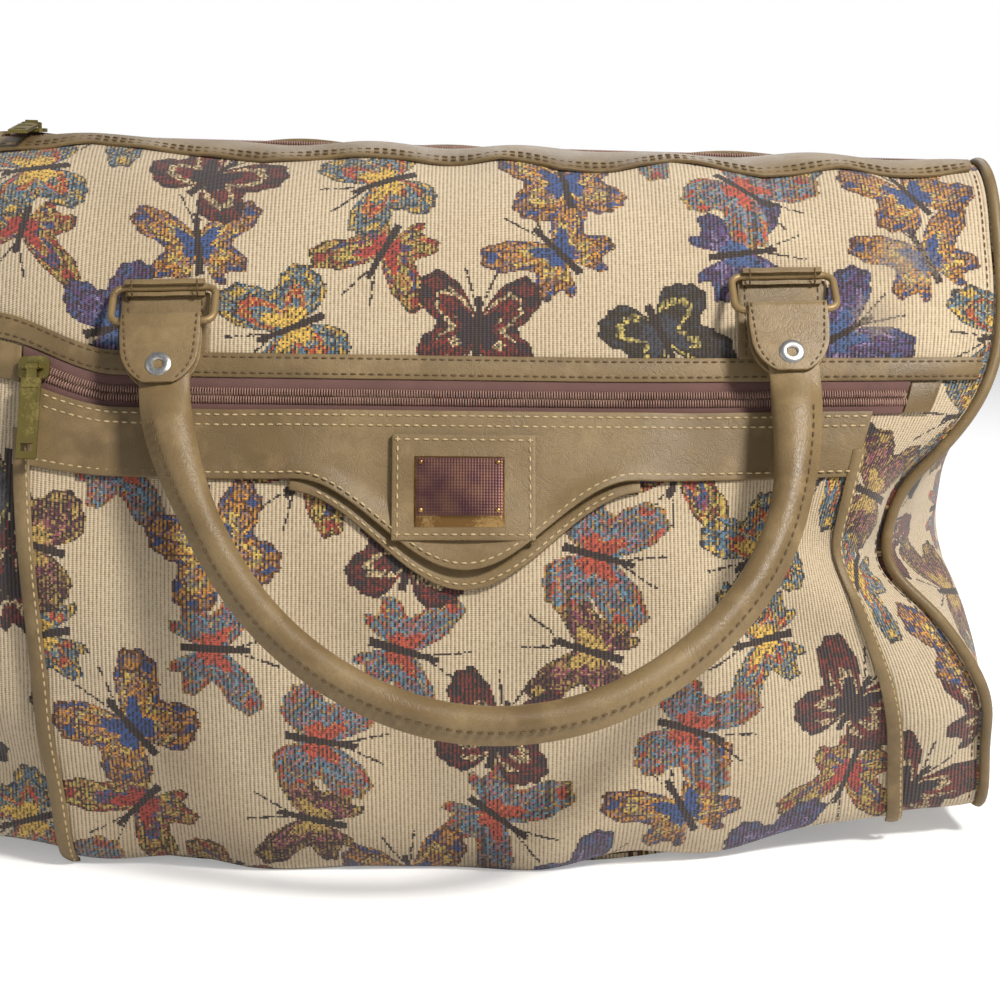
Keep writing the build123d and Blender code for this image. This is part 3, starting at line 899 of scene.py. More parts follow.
class Finishes:
    """All the bag's materials, made once."""

    def __init__(self) -> None:
        """Build each finish."""
        self.tapestry = Tapestry(rubbed=((206.0, 86.0, 15.0), (196.0, 117.0, 12.0))).build()
        self.tapestry_pocket = Tapestry(name="tapestry_pocket", drift=(31.0, 60.0)).build()
        self.tapestry_end = Tapestry(name="tapestry_end", drift=(-140.0, 17.0)).build()
        self.tapestry_back = Tapestry(name="tapestry_back", drift=(260.0, 23.0)).build()
        self.leather = Leather("leather", linear(131, 110, 75), 0.4).build()
        self.leather_handle = Leather("leather_handle", linear(138, 116, 80), 0.34).build()
        # A near-black finish for the plug in each eyelet's hole: painted shade.
        self.hollow = Plain("dark_hollow", linear(30, 26, 22), 0.9).build()
        self.brass = Metal("slider_brass", linear(128, 116, 66), linear(176, 158, 96), 0.9, 0.36).build()
        self.bevel = Metal("plate_brass", linear(138, 104, 62), linear(206, 168, 110), 1.0, 0.25).build()
        self.nickel = Metal("eyelet_nickel", linear(196, 194, 190), linear(120, 118, 116), 1.0, 0.22).build()
        self.ring = Metal("ring_paint", linear(148, 124, 84), linear(92, 72, 44), 0.35, 0.38).build()
        self.plate = PlateFace().build()
        self.tape = Webbing("zip_tape", linear(112, 80, 74)).build()
        self.coil = Plain("zip_coil", linear(158, 122, 108), 0.35).build()
        self.thread = Plain("thread_light", linear(200, 176, 132), 0.8).build()
        self.thread_dark = Plain("thread_brown", linear(104, 82, 54), 0.8).build()
        self.board = Plain("board", linear(150, 130, 100), 0.9).build()


def clear_selection() -> None:
    """Deselect everything."""
    if bpy.context.object and bpy.context.object.mode != "OBJECT":
        bpy.ops.object.mode_set(mode="OBJECT")
    bpy.ops.object.select_all(action="DESELECT")


def choose(piece: bpy.types.Object) -> None:
    """Select one piece and make it active.

    Args:
        piece: the mesh object.
    """
    clear_selection()
    piece.select_set(True)
    bpy.context.view_layer.objects.active = piece


def apply_modifier(piece: bpy.types.Object, kind: str, **settings: object) -> None:
    """Add a modifier and apply it.

    Args:
        piece: the mesh object.
        kind: the modifier's type.
        settings: attributes that are set first.
    """
    modifier = piece.modifiers.new(kind.title(), kind)
    for key, value in settings.items():
        setattr(modifier, key, value)
    choose(piece)
    bpy.ops.object.modifier_apply(modifier=modifier.name)


def smooth_shade(piece: bpy.types.Object, angle: float = 40.0) -> None:
    """Shade smooth, with sharp edges above an angle."""
    choose(piece)
    bpy.ops.object.shade_smooth_by_angle(angle=math.radians(angle))


def mend(piece: bpy.types.Object, distance: float = 0.02) -> None:
    """Merge doubles and face outwards.

    Args:
        piece: the mesh object.
        distance: how near doubles lie, in millimetres.
    """
    choose(piece)
    bpy.ops.object.mode_set(mode="EDIT")
    bpy.ops.mesh.select_all(action="SELECT")
    bpy.ops.mesh.remove_doubles(threshold=distance * MM)
    bpy.ops.mesh.normals_make_consistent(inside=False)
    bpy.ops.object.mode_set(mode="OBJECT")


def close_ends(piece: bpy.types.Object) -> None:
    """Fill the open ends of a tube and face outwards.

    Args:
        piece: the mesh object.
    """
    choose(piece)
    bpy.ops.object.mode_set(mode="EDIT")
    bpy.ops.mesh.select_all(action="DESELECT")
    bpy.ops.mesh.select_non_manifold()
    bpy.ops.mesh.fill_holes(sides=0)
    bpy.ops.mesh.select_all(action="SELECT")
    bpy.ops.mesh.normals_make_consistent(inside=False)
    bpy.ops.object.mode_set(mode="OBJECT")


def take_pattern() -> tuple[Array, list[list[int]]]:
    """Take the points and faces of the new primitive, and remove it.

    Returns:
        The points and the faces.
    """
    made = bpy.context.object
    shape = np.array([v.co for v in made.data.vertices])
    faces = [list(p.vertices) for p in made.data.polygons]
    bpy.data.objects.remove(made)
    return shape, faces


def copied_piece(name: str, copies: list[Array], faces: list[list[int]]) -> bpy.types.Object:
    """One piece from copies of a pattern.

    Args:
        name: the piece's name.
        copies: the placed points of each copy, in millimetres.
        faces: the pattern's faces.

    Returns:
        The piece, at the origin.
    """
    count = len(copies[0])
    cells = [[k * count + i for i in face] for k in range(len(copies)) for face in faces]
    mesh = bpy.data.meshes.new(name)
    mesh.from_pydata((np.vstack(copies) * MM).tolist(), [], cells)
    piece = bpy.data.objects.new(name, mesh)
    bpy.context.scene.collection.objects.link(piece)
    smooth_shade(piece, 80)
    return piece


def grid_piece(name: str, columns: int, rows: int, place: Placer) -> bpy.types.Object:
    """A sheet shaped from a flat grid.

    Args:
        name: the piece's name.
        columns: cells along.
        rows: cells down.
        place: gives points and cloth places, in millimetres, for a and b from 0 to 1.

    Returns:
        The piece, at the origin.
    """
    clear_selection()
    bpy.ops.mesh.primitive_grid_add(x_subdivisions=columns, y_subdivisions=rows, size=2, calc_uvs=True)
    piece = bpy.context.object
    piece.name = name
    mesh = piece.data
    flat = np.zeros(len(mesh.vertices) * 3)
    mesh.vertices.foreach_get("co", flat)
    flat = flat.reshape(-1, 3)
    points, cloth = place((flat[:, 0] + 1) / 2, (flat[:, 1] + 1) / 2)
    mesh.vertices.foreach_set("co", (points * MM).ravel())
    corners = np.zeros(len(mesh.loops), int)
    mesh.loops.foreach_get("vertex_index", corners)
    layer = mesh.uv_layers.active
    layer.name = "UVMap"
    layer.data.foreach_set("uv", (cloth[corners] * MM).ravel())
    mesh.update()
    return piece


def face_towards(piece: bpy.types.Object, direction: Sequence[float]) -> None:
    """Turn an open sheet's faces to the side of direction.

    Args:
        piece: the mesh object.
        direction: where the faces are to look.
    """
    mesh = piece.data
    normals = np.zeros(len(mesh.polygons) * 3)
    mesh.polygons.foreach_get("normal", normals)
    if normals.reshape(-1, 3).mean(0) @ np.array(direction) < 0:
        mesh.flip_normals()


def thicken(piece: bpy.types.Object, thickness: float, soft: float = 0.0) -> None:
    """Give a sheet its thickness inwards and soften its edge.

    Args:
        piece: the mesh object.
        thickness: its thickness, in millimetres.
        soft: width of the edge's bevel, in millimetres.
    """
    apply_modifier(
        piece, "SOLIDIFY", thickness=thickness * MM, offset=-1.0, use_rim=True, use_even_offset=True
    )
    if soft:
        limit = math.radians(50)
        apply_modifier(
            piece, "BEVEL", width=soft * MM, segments=2, limit_method="ANGLE", angle_limit=limit
        )


def tube_piece(
    name: str, centres: Array, across: Array, profile: Array, closed: bool = False
) -> bpy.types.Object:
    """A cord with any profile along a line.

    Args:
        name: the piece's name.
        centres: points of the line, in millimetres.
        across: a direction square to the line, one row per point.
        profile: closed outline as (across, in plane) pairs, one set per point or one for all.
        closed: whether the line meets itself.

    Returns:
        The piece.
    """
    count, sides = len(centres), profile.shape[-2]
    ahead = np.roll(centres, -1, 0) - np.roll(centres, 1, 0) if closed else np.gradient(centres, axis=0)
    ahead /= np.linalg.norm(ahead, axis=1, keepdims=True)
    across = across - ahead * (across * ahead).sum(1, keepdims=True)
    across /= np.linalg.norm(across, axis=1, keepdims=True)
    up = np.cross(ahead, across)
    shape = profile if profile.ndim == 3 else np.broadcast_to(profile, (count, sides, 2))
    steps = np.r_[0, np.cumsum(np.linalg.norm(np.diff(centres, axis=0), axis=1))]

    def place(a: Array, b: Array) -> tuple[Array, Array]:
        """Where the tube's points go.

        Args:
            a: share along the line, from 0 to 1.
            b: share round the profile, from 0 to 1.

        Returns:
            The points and their flat places.
        """
        i = np.rint(a * (count if closed else count - 1)).astype(int) % count
        j = np.rint(b * sides).astype(int) % sides
        points = centres[i] + across[i] * shape[i, j, :1] + up[i] * shape[i, j, 1:]
        return points, np.stack([steps[i], b * 40], -1)

    piece = grid_piece(name, count if closed else count - 1, sides, place)
    mend(piece)
    if not closed:
        close_ends(piece)
    smooth_shade(piece, 50)
    return piece


def round_profile(radius: float, sides: int) -> Array:
    """A round outline."""
    t = np.arange(sides) * 2 * math.pi / sides
    return radius * np.stack([np.cos(t), np.sin(t)], -1)


def resample(points: Array, pitch: float) -> Array:
    """Points an even pitch apart along a line.

    Args:
        points: the line's points.
        pitch: about how far apart they come, in millimetres.

    Returns:
        The points, both ends kept.
    """
    steps = np.r_[0, np.cumsum(np.linalg.norm(np.diff(points, axis=0), axis=1))]
    count = max(2, int(round(steps[-1] / pitch)) + 1)
    at = np.linspace(0, steps[-1], count)
    return np.stack([np.interp(at, steps, points[:, k]) for k in range(points.shape[1])], -1)


@dataclass
class Stitching:
    """Rows of raised stitches, gathered into one piece."""

    name: str
    body: str
    material: bpy.types.Material
    pitch: float = 4.3
    length: float = 3.3
    radius: float = 0.52
    rows: list[tuple[Array, Array]] = field(default_factory=list)

    def add(self, points: Array, normals: Array) -> None:
        """Add a row along points, with the outward direction at each."""
        self.rows.append((np.asarray(points, float), np.asarray(normals, float)))

    def on_skin(self, x: Array, down: Array, out: Array | float, side: Side) -> None:
        """Add a row on the bag, a height above its skin.

        Args:
            x: place along the bag, in millimetres.
            down: distance down from the ridge, in millimetres.
            out: distance outwards, in millimetres.
            side: front or back.
        """
        x, down = np.broadcast_arrays(np.asarray(x, float), np.asarray(down, float))
        low = BAG.skin(x, down, out, side)
        self.add(low, BAG.skin(x, down, out + 5, side) - low)

    def build(self) -> bpy.types.Object:
        """Model one stitch and copy it along every row.

        Returns:
            The piece.
        """
        clear_selection()
        bpy.ops.mesh.primitive_uv_sphere_add(segments=6, ring_count=5, radius=1)
        shape, faces = take_pattern()
        local = shape * [self.length / 2, self.radius, self.radius * 0.8]
        copies = []
        for points, normals in self.rows:
            both = resample(np.hstack([points, normals]), self.pitch)
            spots, ups = both[:, :3], both[:, 3:]
            for spot, way, up in zip(spots, np.gradient(spots, axis=0), ups):
                way = way / np.linalg.norm(way)
                up = up - way * (up @ way)
                up /= np.linalg.norm(up)
                copies.append(spot + local @ np.array([way, np.cross(way, up), up]))
        return dress(copied_piece(self.name, copies, faces), self.body, "leather", self.material)


def dress(
    piece: bpy.types.Object, body: str, slot: str, material: bpy.types.Material, *nodes: str
) -> bpy.types.Object:
    """Give a finished piece its material, its body and the CAD nodes it stands for.

    Args:
        piece: the mesh object.
        body: the body that it rides on.
        slot: its colour slot; not used.
        material: its finish.
        nodes: the CAD nodes that it replaces.

    Returns:
        The same piece.
    """
    piece.data.materials.clear()
    piece.data.materials.append(material)
    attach(piece, body)
    if nodes:
        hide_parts(*nodes)
    LOG.info("%s: %d faces", piece.name, len(piece.data.polygons))
    return piece


@dataclass
class Panels:
    """The tapestry walls, ends, base and the stiff board."""

    finishes: Finishes
    top: float = 10.0
    end_top: float = 14.0
    wall: float = 2.2
    bulge: float = 15.0
    end_width: float = 230.0
    board_rise: float = 5.6
    board_inset: float = 0.06
    board_thickness: float = 3.0

    def long_wall(self, side: Side) -> None:
        """One long wall, over its whole height.

        Args:
            side: front or back.
        """

        def place(a: Array, b: Array) -> tuple[Array, Array]:
            """Where the grid's points go.

            Args:
                a: share across, from 0 to 1.
                b: share down, from 0 to 1.

            Returns:
                The points and their flat places.
            """
            x = (2 * a - 1) * BAG.half_length
            down = self.top + (BAG.girth - self.top) * b
            return laid(x, down, 0, side)

        word = side.name.lower()
        piece = grid_piece(f"{word}_cloth", 190, 150, place)
        face_towards(piece, (0, side.value, 0))
        thicken(piece, self.wall)
        smooth_shade(piece, 60)
        material = self.finishes.tapestry if side is Side.FRONT else self.finishes.tapestry_back
        dress(piece, "bag", "tapestry", material, f"{word}_panel")

    def end_wall(self, end: End) -> None:
        """One bulging end.

        Args:
            end: left or right.
        """

        def place(a: Array, b: Array) -> tuple[Array, Array]:
            """Where the grid's points go.

            Args:
                a: share across, from 0 to 1.
                b: share down, from 0 to 1.

            Returns:
                The points and their flat places.
            """
            down = self.end_top + (BAG.girth - self.end_top) * b
            x = np.full_like(a, BAG.half_length * end.value)
            front, back = BAG.skin(x, down, 0, Side.FRONT), BAG.skin(x, down, 0, Side.BACK)
            span = 1 - (2 * a - 1) ** 2
            bulge = self.bulge * span * np.sin(math.pi * b) ** 0.7 + self.wall
            bulge += span * 1.8 * np.sin(down / 21 + a * 5) + span * 1.4 * np.sin(a * 19 + down / 40)
            points = front + (back - front) * a[:, None]
            points[:, 0] += end.value * bulge
            return points, np.stack([points[:, 1], down], -1)

        word = end.name.lower()
        piece = grid_piece(f"end_cloth_{word}", 90, 130, place)
        face_towards(piece, (end.value, 0, 0))
        thicken(piece, self.wall)
        smooth_shade(piece, 60)
        dress(piece, "bag", "tapestry", self.finishes.tapestry_end, f"end_panel_{word}")

    def base(self) -> None:
        """The base cloth and the board above it."""
        f = self.finishes
        board = (self.board_rise, self.board_inset, self.board_thickness)
        for name, (rise, inset, thickness), node, slot, material in (
            ("base_cloth", (0.0, 0.0, self.wall), "base_panel", "tapestry", f.tapestry_back),
            ("base_stiffener", board, "base_board", "board", f.board),
        ):

            def place(a: Array, b: Array) -> tuple[Array, Array]:
                """Where the grid's points go.

                Args:
                    a: share across, from 0 to 1.
                    b: share down, from 0 to 1.

                Returns:
                    The points and their flat places.
                """
                x = (2 * a - 1) * (BAG.half_length - inset * 533) - inset * 83
                edge = np.full_like(x, BAG.girth)
                front, back = BAG.wall(x, edge, Side.FRONT), BAG.wall(x, edge, Side.BACK)
                w = inset + (1 - 2 * inset) * b
                points = front + (back - front) * w[:, None]
                points[:, 2] = BAG.lift(x) + rise
                return points, np.stack([x, points[:, 1]], -1)

            piece = grid_piece(name, 60, 16, place)
            face_towards(piece, (0, 0, -1 if rise == 0 else 1))
            rise == 0
            thicken(piece, thickness)
            smooth_shade(piece)
            dress(piece, "bag", slot, material, node)

    def build(self) -> None:
        """Make every wall."""
        for side in Side:
            self.long_wall(side)
        for end in End:
            self.end_wall(end)
        self.base()


@dataclass
class Piping:
    """The leather-covered cord round each end panel."""

    finishes: Finishes
    radius: float = 2.7
    wall: float = 2.2
    first: float = 8.0
    last: float = 392.0
    pitch: float = 5.0
    stitch_inset: float = 3.2

    def outline(self, end: End) -> Array:
        """The seam line round an end.

        Args:
            end: left or right.

        Returns:
            The line's points, the last beside the first.
        """
        reach = self.radius * 0.45
        here, edge = np.array([BAG.half_length * end.value]), np.array([BAG.girth])
        downs = np.linspace(self.last, self.first, 70)
        up = BAG.skin(np.full_like(downs, here[0]), downs, reach, Side.FRONT)
        downs = np.linspace(self.first, self.last, 70)
        over = BAG.skin(np.full_like(downs, here[0]), downs, reach, Side.BACK)
        front, back = (BAG.wall(here, edge, side)[0] for side in Side)
        w = np.linspace(0.92, 0.08, 16)[:, None]
        bottom = front + (back - front) * w
        bottom[:, 2] = BAG.lift(here)[0] + reach
        line = np.vstack([up, over, bottom])
        line[:, 0] += end.value * (self.wall + reach * 0.8)
        return resample(np.vstack([line, line[:1]]), self.pitch)[:-1]

    def build(self) -> None:
        """Make both cords and the stitches beside them."""
        for end in End:
            line = self.outline(end)
            for _ in range(2):
                line = (np.roll(line, 1, 0) + 2 * line + np.roll(line, -1, 0)) / 4
            across = np.tile([float(end.value), 0, 0], (len(line), 1))
            word = end.name.lower()
            profile = round_profile(self.radius, 14)
            piece = tube_piece(f"piping_cord_{word}", line, across, profile, closed=True)
            dress(piece, "bag", "leather", self.finishes.leather, f"piping_{word}")
            stitches = Stitching(f"piping_stitches_{word}", "bag", self.finishes.thread_dark)
            x = end.value * (BAG.half_length - self.stitch_inset)
            for side in Side:
                stitches.on_skin(x, np.linspace(30, 385, 90), 0.1, side)
            stitches.build()


def leather_strip(
    name: str, place: Placer, side: Side, columns: int, rows: int, thickness: float = 1.8
) -> bpy.types.Object:
    """A strip of leather with a soft cut edge.

    Args:
        name: the piece's name.
        place: gives the points for a and b from 0 to 1.
        side: front or back.
        columns: cells along.
        rows: cells down.
        thickness: its thickness, in millimetres.

    Returns:
        The piece.
    """
    piece = grid_piece(name, columns, rows, place)
    face_towards(piece, (0, side.value, 0.6))
    thicken(piece, thickness, 0.35)
    smooth_shade(piece, 50)
    return piece


@dataclass
class TopStrips:
    """The wavy leather strips beside the main zip, with two stitch rows each."""

    finishes: Finishes
    top: float = 6.0
    lift: float = 2.2
    half_span: float = 247.0
    stitch_insets: tuple[float, float] = (2.6, 6.4)

    def edge(self, x: Array, side: Side) -> Array:
        """The strip's lower edge.

        Args:
            x: place along the bag, in millimetres.
            side: front or back.

        Returns:
            A distance down, in millimetres.
        """
        if side is Side.BACK:
            return 27 + 2.6 * np.sin(x / 17) + 1.6 * np.sin(x / 37)
        places = [-246, -215, -191, -150, -105, -78, -50, -23, 12, 42, 70, 98, 120, 143, 180, 212, 246]
        values = [29, 25, 19, 24, 30, 25, 26, 27, 25, 33, 28, 19, 25, 31, 27, 27, 25]
        return np.interp(x, places, values)

    def build(self) -> None:
        """Make both strips."""
        for side in Side:
            word = side.name.lower()

            def place(a: Array, b: Array) -> tuple[Array, Array]:
                """Where the grid's points go.

                Args:
                    a: share across, from 0 to 1.
                    b: share down, from 0 to 1.

                Returns:
                    The points and their flat places.
                """
                x = (2 * a - 1) * self.half_span
                down = self.top + (self.edge(x, side) - self.top) * b
                ripple = 0.5 * np.sin(x / 5.5) * b
                return laid(x, down, self.lift + ripple, side)

            piece = leather_strip(f"zip_strip_{word}", place, side, 240, 6)
            dress(piece, "bag", "leather", self.finishes.leather, f"top_strip_{word}")
            stitches = Stitching(f"zip_strip_stitches_{word}", "bag", self.finishes.thread_dark)
            x = np.linspace(3 - self.half_span, self.half_span - 3, 300)
            for inset in self.stitch_insets:
                stitches.on_skin(x, self.edge(x, side) - inset, self.lift + 0.1, side)
            stitches.build()


@dataclass
class ZipRun:
    """A length of zip: two tapes and a double row of coil turns."""

    name: str
    span: tuple[float, float]
    turn: float = 1.25

    def teeth(
        self, centre: Callable[[Array], tuple[Array, Array]], half: float, rise: float
    ) -> bpy.types.Object:
        """Copy one coil turn along the zip.

        Args:
            centre: gives points and outward directions for places x.
            half: half the width of the double coil.
            rise: the height of a turn.

        Returns:
            The coil as one piece.
        """
        clear_selection()
        bpy.ops.mesh.primitive_torus_add(
            major_segments=10, minor_segments=5, major_radius=1, minor_radius=0.3
        )
        shape, faces = take_pattern()
        x = np.arange(self.span[0], self.span[1], self.turn)
        spots, ups = centre(x)
        ahead = np.gradient(spots, axis=0)
        ahead /= np.linalg.norm(ahead, axis=1, keepdims=True)
        across = np.cross(ahead, ups)
        copies = []
        for row in (-1, 1):
            for spot, way, side, up in zip(spots, ahead, across, ups):
                turn = shape @ np.array([side * half * 0.42, up * rise * 0.4, way * 1.3])
                copies.append(spot + side * row * half * 0.5 + way * (0.3 * row) + turn)
        return copied_piece(self.name, copies, faces)


@dataclass
class PocketZip:
    """The zip above the pocket with its band and end tabs."""

    finishes: Finishes
    band: tuple[float, float] = (139.0, 151.0)
    band_half: float = 248.0
    tabs: tuple[float, float] = (152.0, 167.5)
    coil: float = 159.75
    coil_half: float = 3.9
    span: tuple[float, float] = (-214.0, 212.0)

    def strips(self) -> None:
        """The band, the two tapes and the tabs, each a strip along the front."""
        f = self.finishes
        leather, tape = (f.leather, "leather", 1.8), (f.tape, "zip_tape", 0.9)
        band_ends = (-self.band_half, self.band_half)
        for name, node, downs, out, look, ends, columns in (
            ("zip_band", "pocket_zip_band", self.band, 2.2, leather, band_ends, 120),
            ("zip_tape_above", "pocket_zip_tape_upper", (150.5, 157), 1.2, tape, self.span, 120),
            ("zip_tape_below", "pocket_zip_tape_lower", (162.5, 168.2), 1.2, tape, self.span, 120),
            ("zip_tab_left", "pocket_zip_end_left", self.tabs, 2.4, leather, (-231, -214.5), 6),
            ("zip_tab_right", "pocket_zip_end_right", self.tabs, 2.4, leather, (212.5, 228), 6),
        ):
            material, slot, thickness = look

            def place(a: Array, b: Array) -> tuple[Array, Array]:
                """Where the grid's points go.

                Args:
                    a: share across, from 0 to 1.
                    b: share down, from 0 to 1.

                Returns:
                    The points and their flat places.
                """
                x = ends[0] + (ends[1] - ends[0]) * a
                down = downs[0] + (downs[1] - downs[0]) * b
                crown = 0.5 * np.sin(math.pi * b)
                return laid(x, down, out + crown, Side.FRONT)

            piece = leather_strip(name, place, Side.FRONT, columns, 5, thickness)
            dress(piece, "bag", slot, material, node)

    def build(self) -> None:
        """Make the strips, the coil and the stitches."""
        f = self.finishes
        self.strips()

        def centre(x: Array) -> tuple[Array, Array]:
            """The coil's middle line, with the way outwards.

            Args:
                x: place along the bag, in millimetres.

            Returns:
                The points and the directions.
            """
            down = np.full_like(x, self.coil)
            low, high = BAG.skin(x, down, 1.6, Side.FRONT), BAG.skin(x, down, 6.6, Side.FRONT)
            return low, (high - low) / 5

        piece = ZipRun("pocket_coil", self.span).teeth(centre, self.coil_half, 2.6)
        dress(piece, "bag", "zip_coil", f.coil, "pocket_zip_coil")
        stitches = Stitching("band_stitches", "bag", f.thread_dark)
        x = np.linspace(2 - self.band_half, self.band_half - 2, 300)
        for down in (self.band[0] + 2.2, self.band[1] - 2.2):
            stitches.on_skin(x, down, 2.6, Side.FRONT)
        stitches.build()


@dataclass
class MainZip:
    """The zip along the ridge."""

    finishes: Finishes
    half_span: float = 236.0
    tape_half_span: float = 240.0
    tape_downs: tuple[float, float] = (3.0, 17.0)
    coil_half: float = 3.9
    tab_start: float = 240.5
    tab_long: float = 11.0
    tab_half: float = 8.2
    tab_drop: float = 2.6

    def build(self) -> None:
        """Make tapes, coil and end tabs."""
        f = self.finishes
        for side in Side:
            word = side.name.lower()

            def place(a: Array, b: Array) -> tuple[Array, Array]:
                """Where the grid's points go.

                Args:
                    a: share across, from 0 to 1.
                    b: share down, from 0 to 1.

                Returns:
                    The points and their flat places.
                """
                x = (2 * a - 1) * self.tape_half_span
                down = self.tape_downs[0] + (self.tape_downs[1] - self.tape_downs[0]) * b
                return laid(x, down, -0.6, side)

            piece = leather_strip(f"ridge_tape_{word}", place, side, 100, 4, 0.9)
            dress(piece, "bag", "zip_tape", f.tape, f"main_zip_tape_{word}")

        def centre(x: Array) -> tuple[Array, Array]:
            """The coil's middle line, with the way outwards."""
            spots = np.stack([x, np.zeros_like(x), BAG.height + 0.2 + BAG.ridge_slope * x], -1)
            return spots, np.tile([0.0, 0.0, 1.0], (len(x), 1))

        piece = ZipRun("ridge_coil", (-self.half_span, self.half_span)).teeth(centre, self.coil_half, 3.4)
        dress(piece, "bag", "zip_coil", f.coil, "main_zip_coil")
        for end in End:
            word = end.name.lower()

            def tab(a: Array, b: Array) -> tuple[Array, Array]:
                """Where the tab's points go.

                Args:
                    a: share across, from 0 to 1.
                    b: share down, from 0 to 1.

                Returns:
                    The points and their flat places.
                """
                x = end.value * (self.tab_start + self.tab_long * a)
                y = (2 * b - 1) * self.tab_half
                fall = np.sqrt((y / self.tab_half) ** 2 + 0.02) - math.sqrt(0.02)
                drop = self.tab_drop * fall / 0.87
                z = BAG.height + 2.2 + BAG.ridge_slope * x - drop
                return np.stack([x, y, z], -1), np.stack([x, y], -1)

            piece = leather_strip(f"ridge_tab_{word}", tab, Side.FRONT, 10, 20, 1.8)
            dress(piece, "bag", "leather", f.leather, f"main_zip_end_{word}")


@dataclass
class FrontPocket:
    """The pocket's cloth, side bindings, flap, rim, patch and plate."""

    finishes: Finishes
    patch: tuple[float, float, float, float] = (-38, 29, 179, 228)
    plate: tuple[float, float, float, float] = (-27.5, 14.5, 189.5, 217.5)
    cloth_width: float = 400.0
    cloth_thickness: float = 1.8
    binding_top: float = 186.0
    binding_width: float = 8.0
    flap_ends: tuple[float, float] = (-213.0, 195.0)
    rim_tuck: float = 14.0
    stitch_inset: float = 2.6
    stud_inset: float = 3.0

    def cloth(self) -> None:
        """The pocket's tapestry."""

        def place(a: Array, b: Array) -> tuple[Array, Array]:
            """Where the grid's points go.

            Args:
                a: share across, from 0 to 1.
                b: share down, from 0 to 1.

            Returns:
                The points and their flat places.
            """
            down = POCKET.top + (POCKET.bottom - POCKET.top) * b
            left, right = POCKET.side_at(End.LEFT, down), POCKET.side_at(End.RIGHT, down)
            x = left + (right - left) * a
            out = POCKET.wall + POCKET.seam + POCKET.fullness(x, down)
            return laid(x, down, out, Side.FRONT)

        piece = grid_piece("pocket_cloth", 190, 110, place)
        face_towards(piece, (0, -1, 0))
        thicken(piece, self.cloth_thickness)
        smooth_shade(piece, 60)
        dress(piece, "bag", "tapestry", self.finishes.tapestry_pocket, "pocket_panel")

    def bindings(self) -> None:
        """The leather over the pocket's side seams."""
        stitches = Stitching("binding_stitches", "bag", self.finishes.thread)
        for end in End:

            def place(a: Array, b: Array) -> tuple[Array, Array]:
                """Where the grid's points go.

                Args:
                    a: share across, from 0 to 1.
                    b: share down, from 0 to 1.

                Returns:
                    The points and their flat places.
                """
                down = self.binding_top + (POCKET.bottom + 2 - self.binding_top) * b
                x = POCKET.side_at(end, down) + self.binding_width * (a - 0.5)
                out = POCKET.on_pocket(x, down) + 0.9 * np.sin(math.pi * a)
                return laid(x, down, out, Side.FRONT)

            word = end.name.lower()
            piece = leather_strip(f"binding_{word}", place, Side.FRONT, 8, 110)
            dress(piece, "bag", "leather", self.finishes.leather, f"side_trim_{word}")
            down = np.linspace(190, 392, 120)
            x = POCKET.side_at(end, down) + 2.4
            stitches.on_skin(x, down, POCKET.on_pocket(x, down) + 0.6, Side.FRONT)
        stitches.build()

    def flap(self) -> None:
        """The scooped flap and the crescent under it."""
        f = self.finishes

        def flap_place(a: Array, b: Array) -> tuple[Array, Array]:
            """Where the flap's points go.

            Args:
                a: share across, from 0 to 1.
                b: share down, from 0 to 1.

            Returns:
                The points and their flat places.
            """
            x = self.flap_ends[0] + (self.flap_ends[1] - self.flap_ends[0]) * a
            down = POCKET.flap_top + (POCKET.scoop(x) - POCKET.flap_top) * b
            crown = 0.6 * np.sin(x / 34) * b
            lip = POCKET.flap_lip * POCKET.lip(x) * smooth((b - 0.72) / 0.28)
            out = POCKET.on_flap(x, down) + crown + lip
            return laid(x, down, out, Side.FRONT)

        def rim_place(a: Array, b: Array) -> tuple[Array, Array]:
            """Where the rim's points go.

            Args:
                a: share across, from 0 to 1.
                b: share down, from 0 to 1.

            Returns:
                The points and their flat places.
            """
            x = POCKET.scoop_centre + POCKET.rim_half * (2 * a - 1)
            down = POCKET.scoop(x) - self.rim_tuck + (self.rim_tuck + POCKET.rim(x)) * b
            out = POCKET.on_pocket(x, down) + 1.4 * smooth((b - 0.62) / 0.2) - 0.6
            return laid(x, down, out, Side.FRONT)

        flap = leather_strip("flap_leather", flap_place, Side.FRONT, 220, 24)
        dress(flap, "bag", "leather", f.leather, "pocket_flap")
        rim = leather_strip("rim_leather", rim_place, Side.FRONT, 100, 10)
        dress(rim, "bag", "leather", f.leather, "scoop_rim")
        stitches = Stitching("flap_stitches", "bag", f.thread)
        x = np.linspace(self.flap_ends[0] + 4, self.flap_ends[1] - 4, 260)
        for inset in (2.6, 7.4):
            down = np.full_like(x, POCKET.flap_top + inset)
            stitches.on_skin(x, down, POCKET.on_flap(x, down) + 0.15, Side.FRONT)
        down = POCKET.scoop(x) - 3.0
        stitches.on_skin(x, down, POCKET.on_flap(x, down) + 0.15 + 2.4 * POCKET.lip(x), Side.FRONT)
        x = np.linspace(-72, 64, 90)
        down = POCKET.scoop(x) + POCKET.rim(x) - 2.6
        stitches.on_skin(x, down, POCKET.on_pocket(x, down) + 1.0, Side.FRONT)
        stitches.build()

    def badge(self) -> None:
        """The stitched patch, the plate with its bevel and four studs."""
        f = self.finishes
        x0, x1, d0, d1 = self.patch

        def patch_place(a: Array, b: Array) -> tuple[Array, Array]:
            """Where the patch's points go."""
            x, down = x0 + (x1 - x0) * a, d0 + (d1 - d0) * b
            return laid(x, down, POCKET.on_flap(x, down) + 3.0, Side.FRONT)

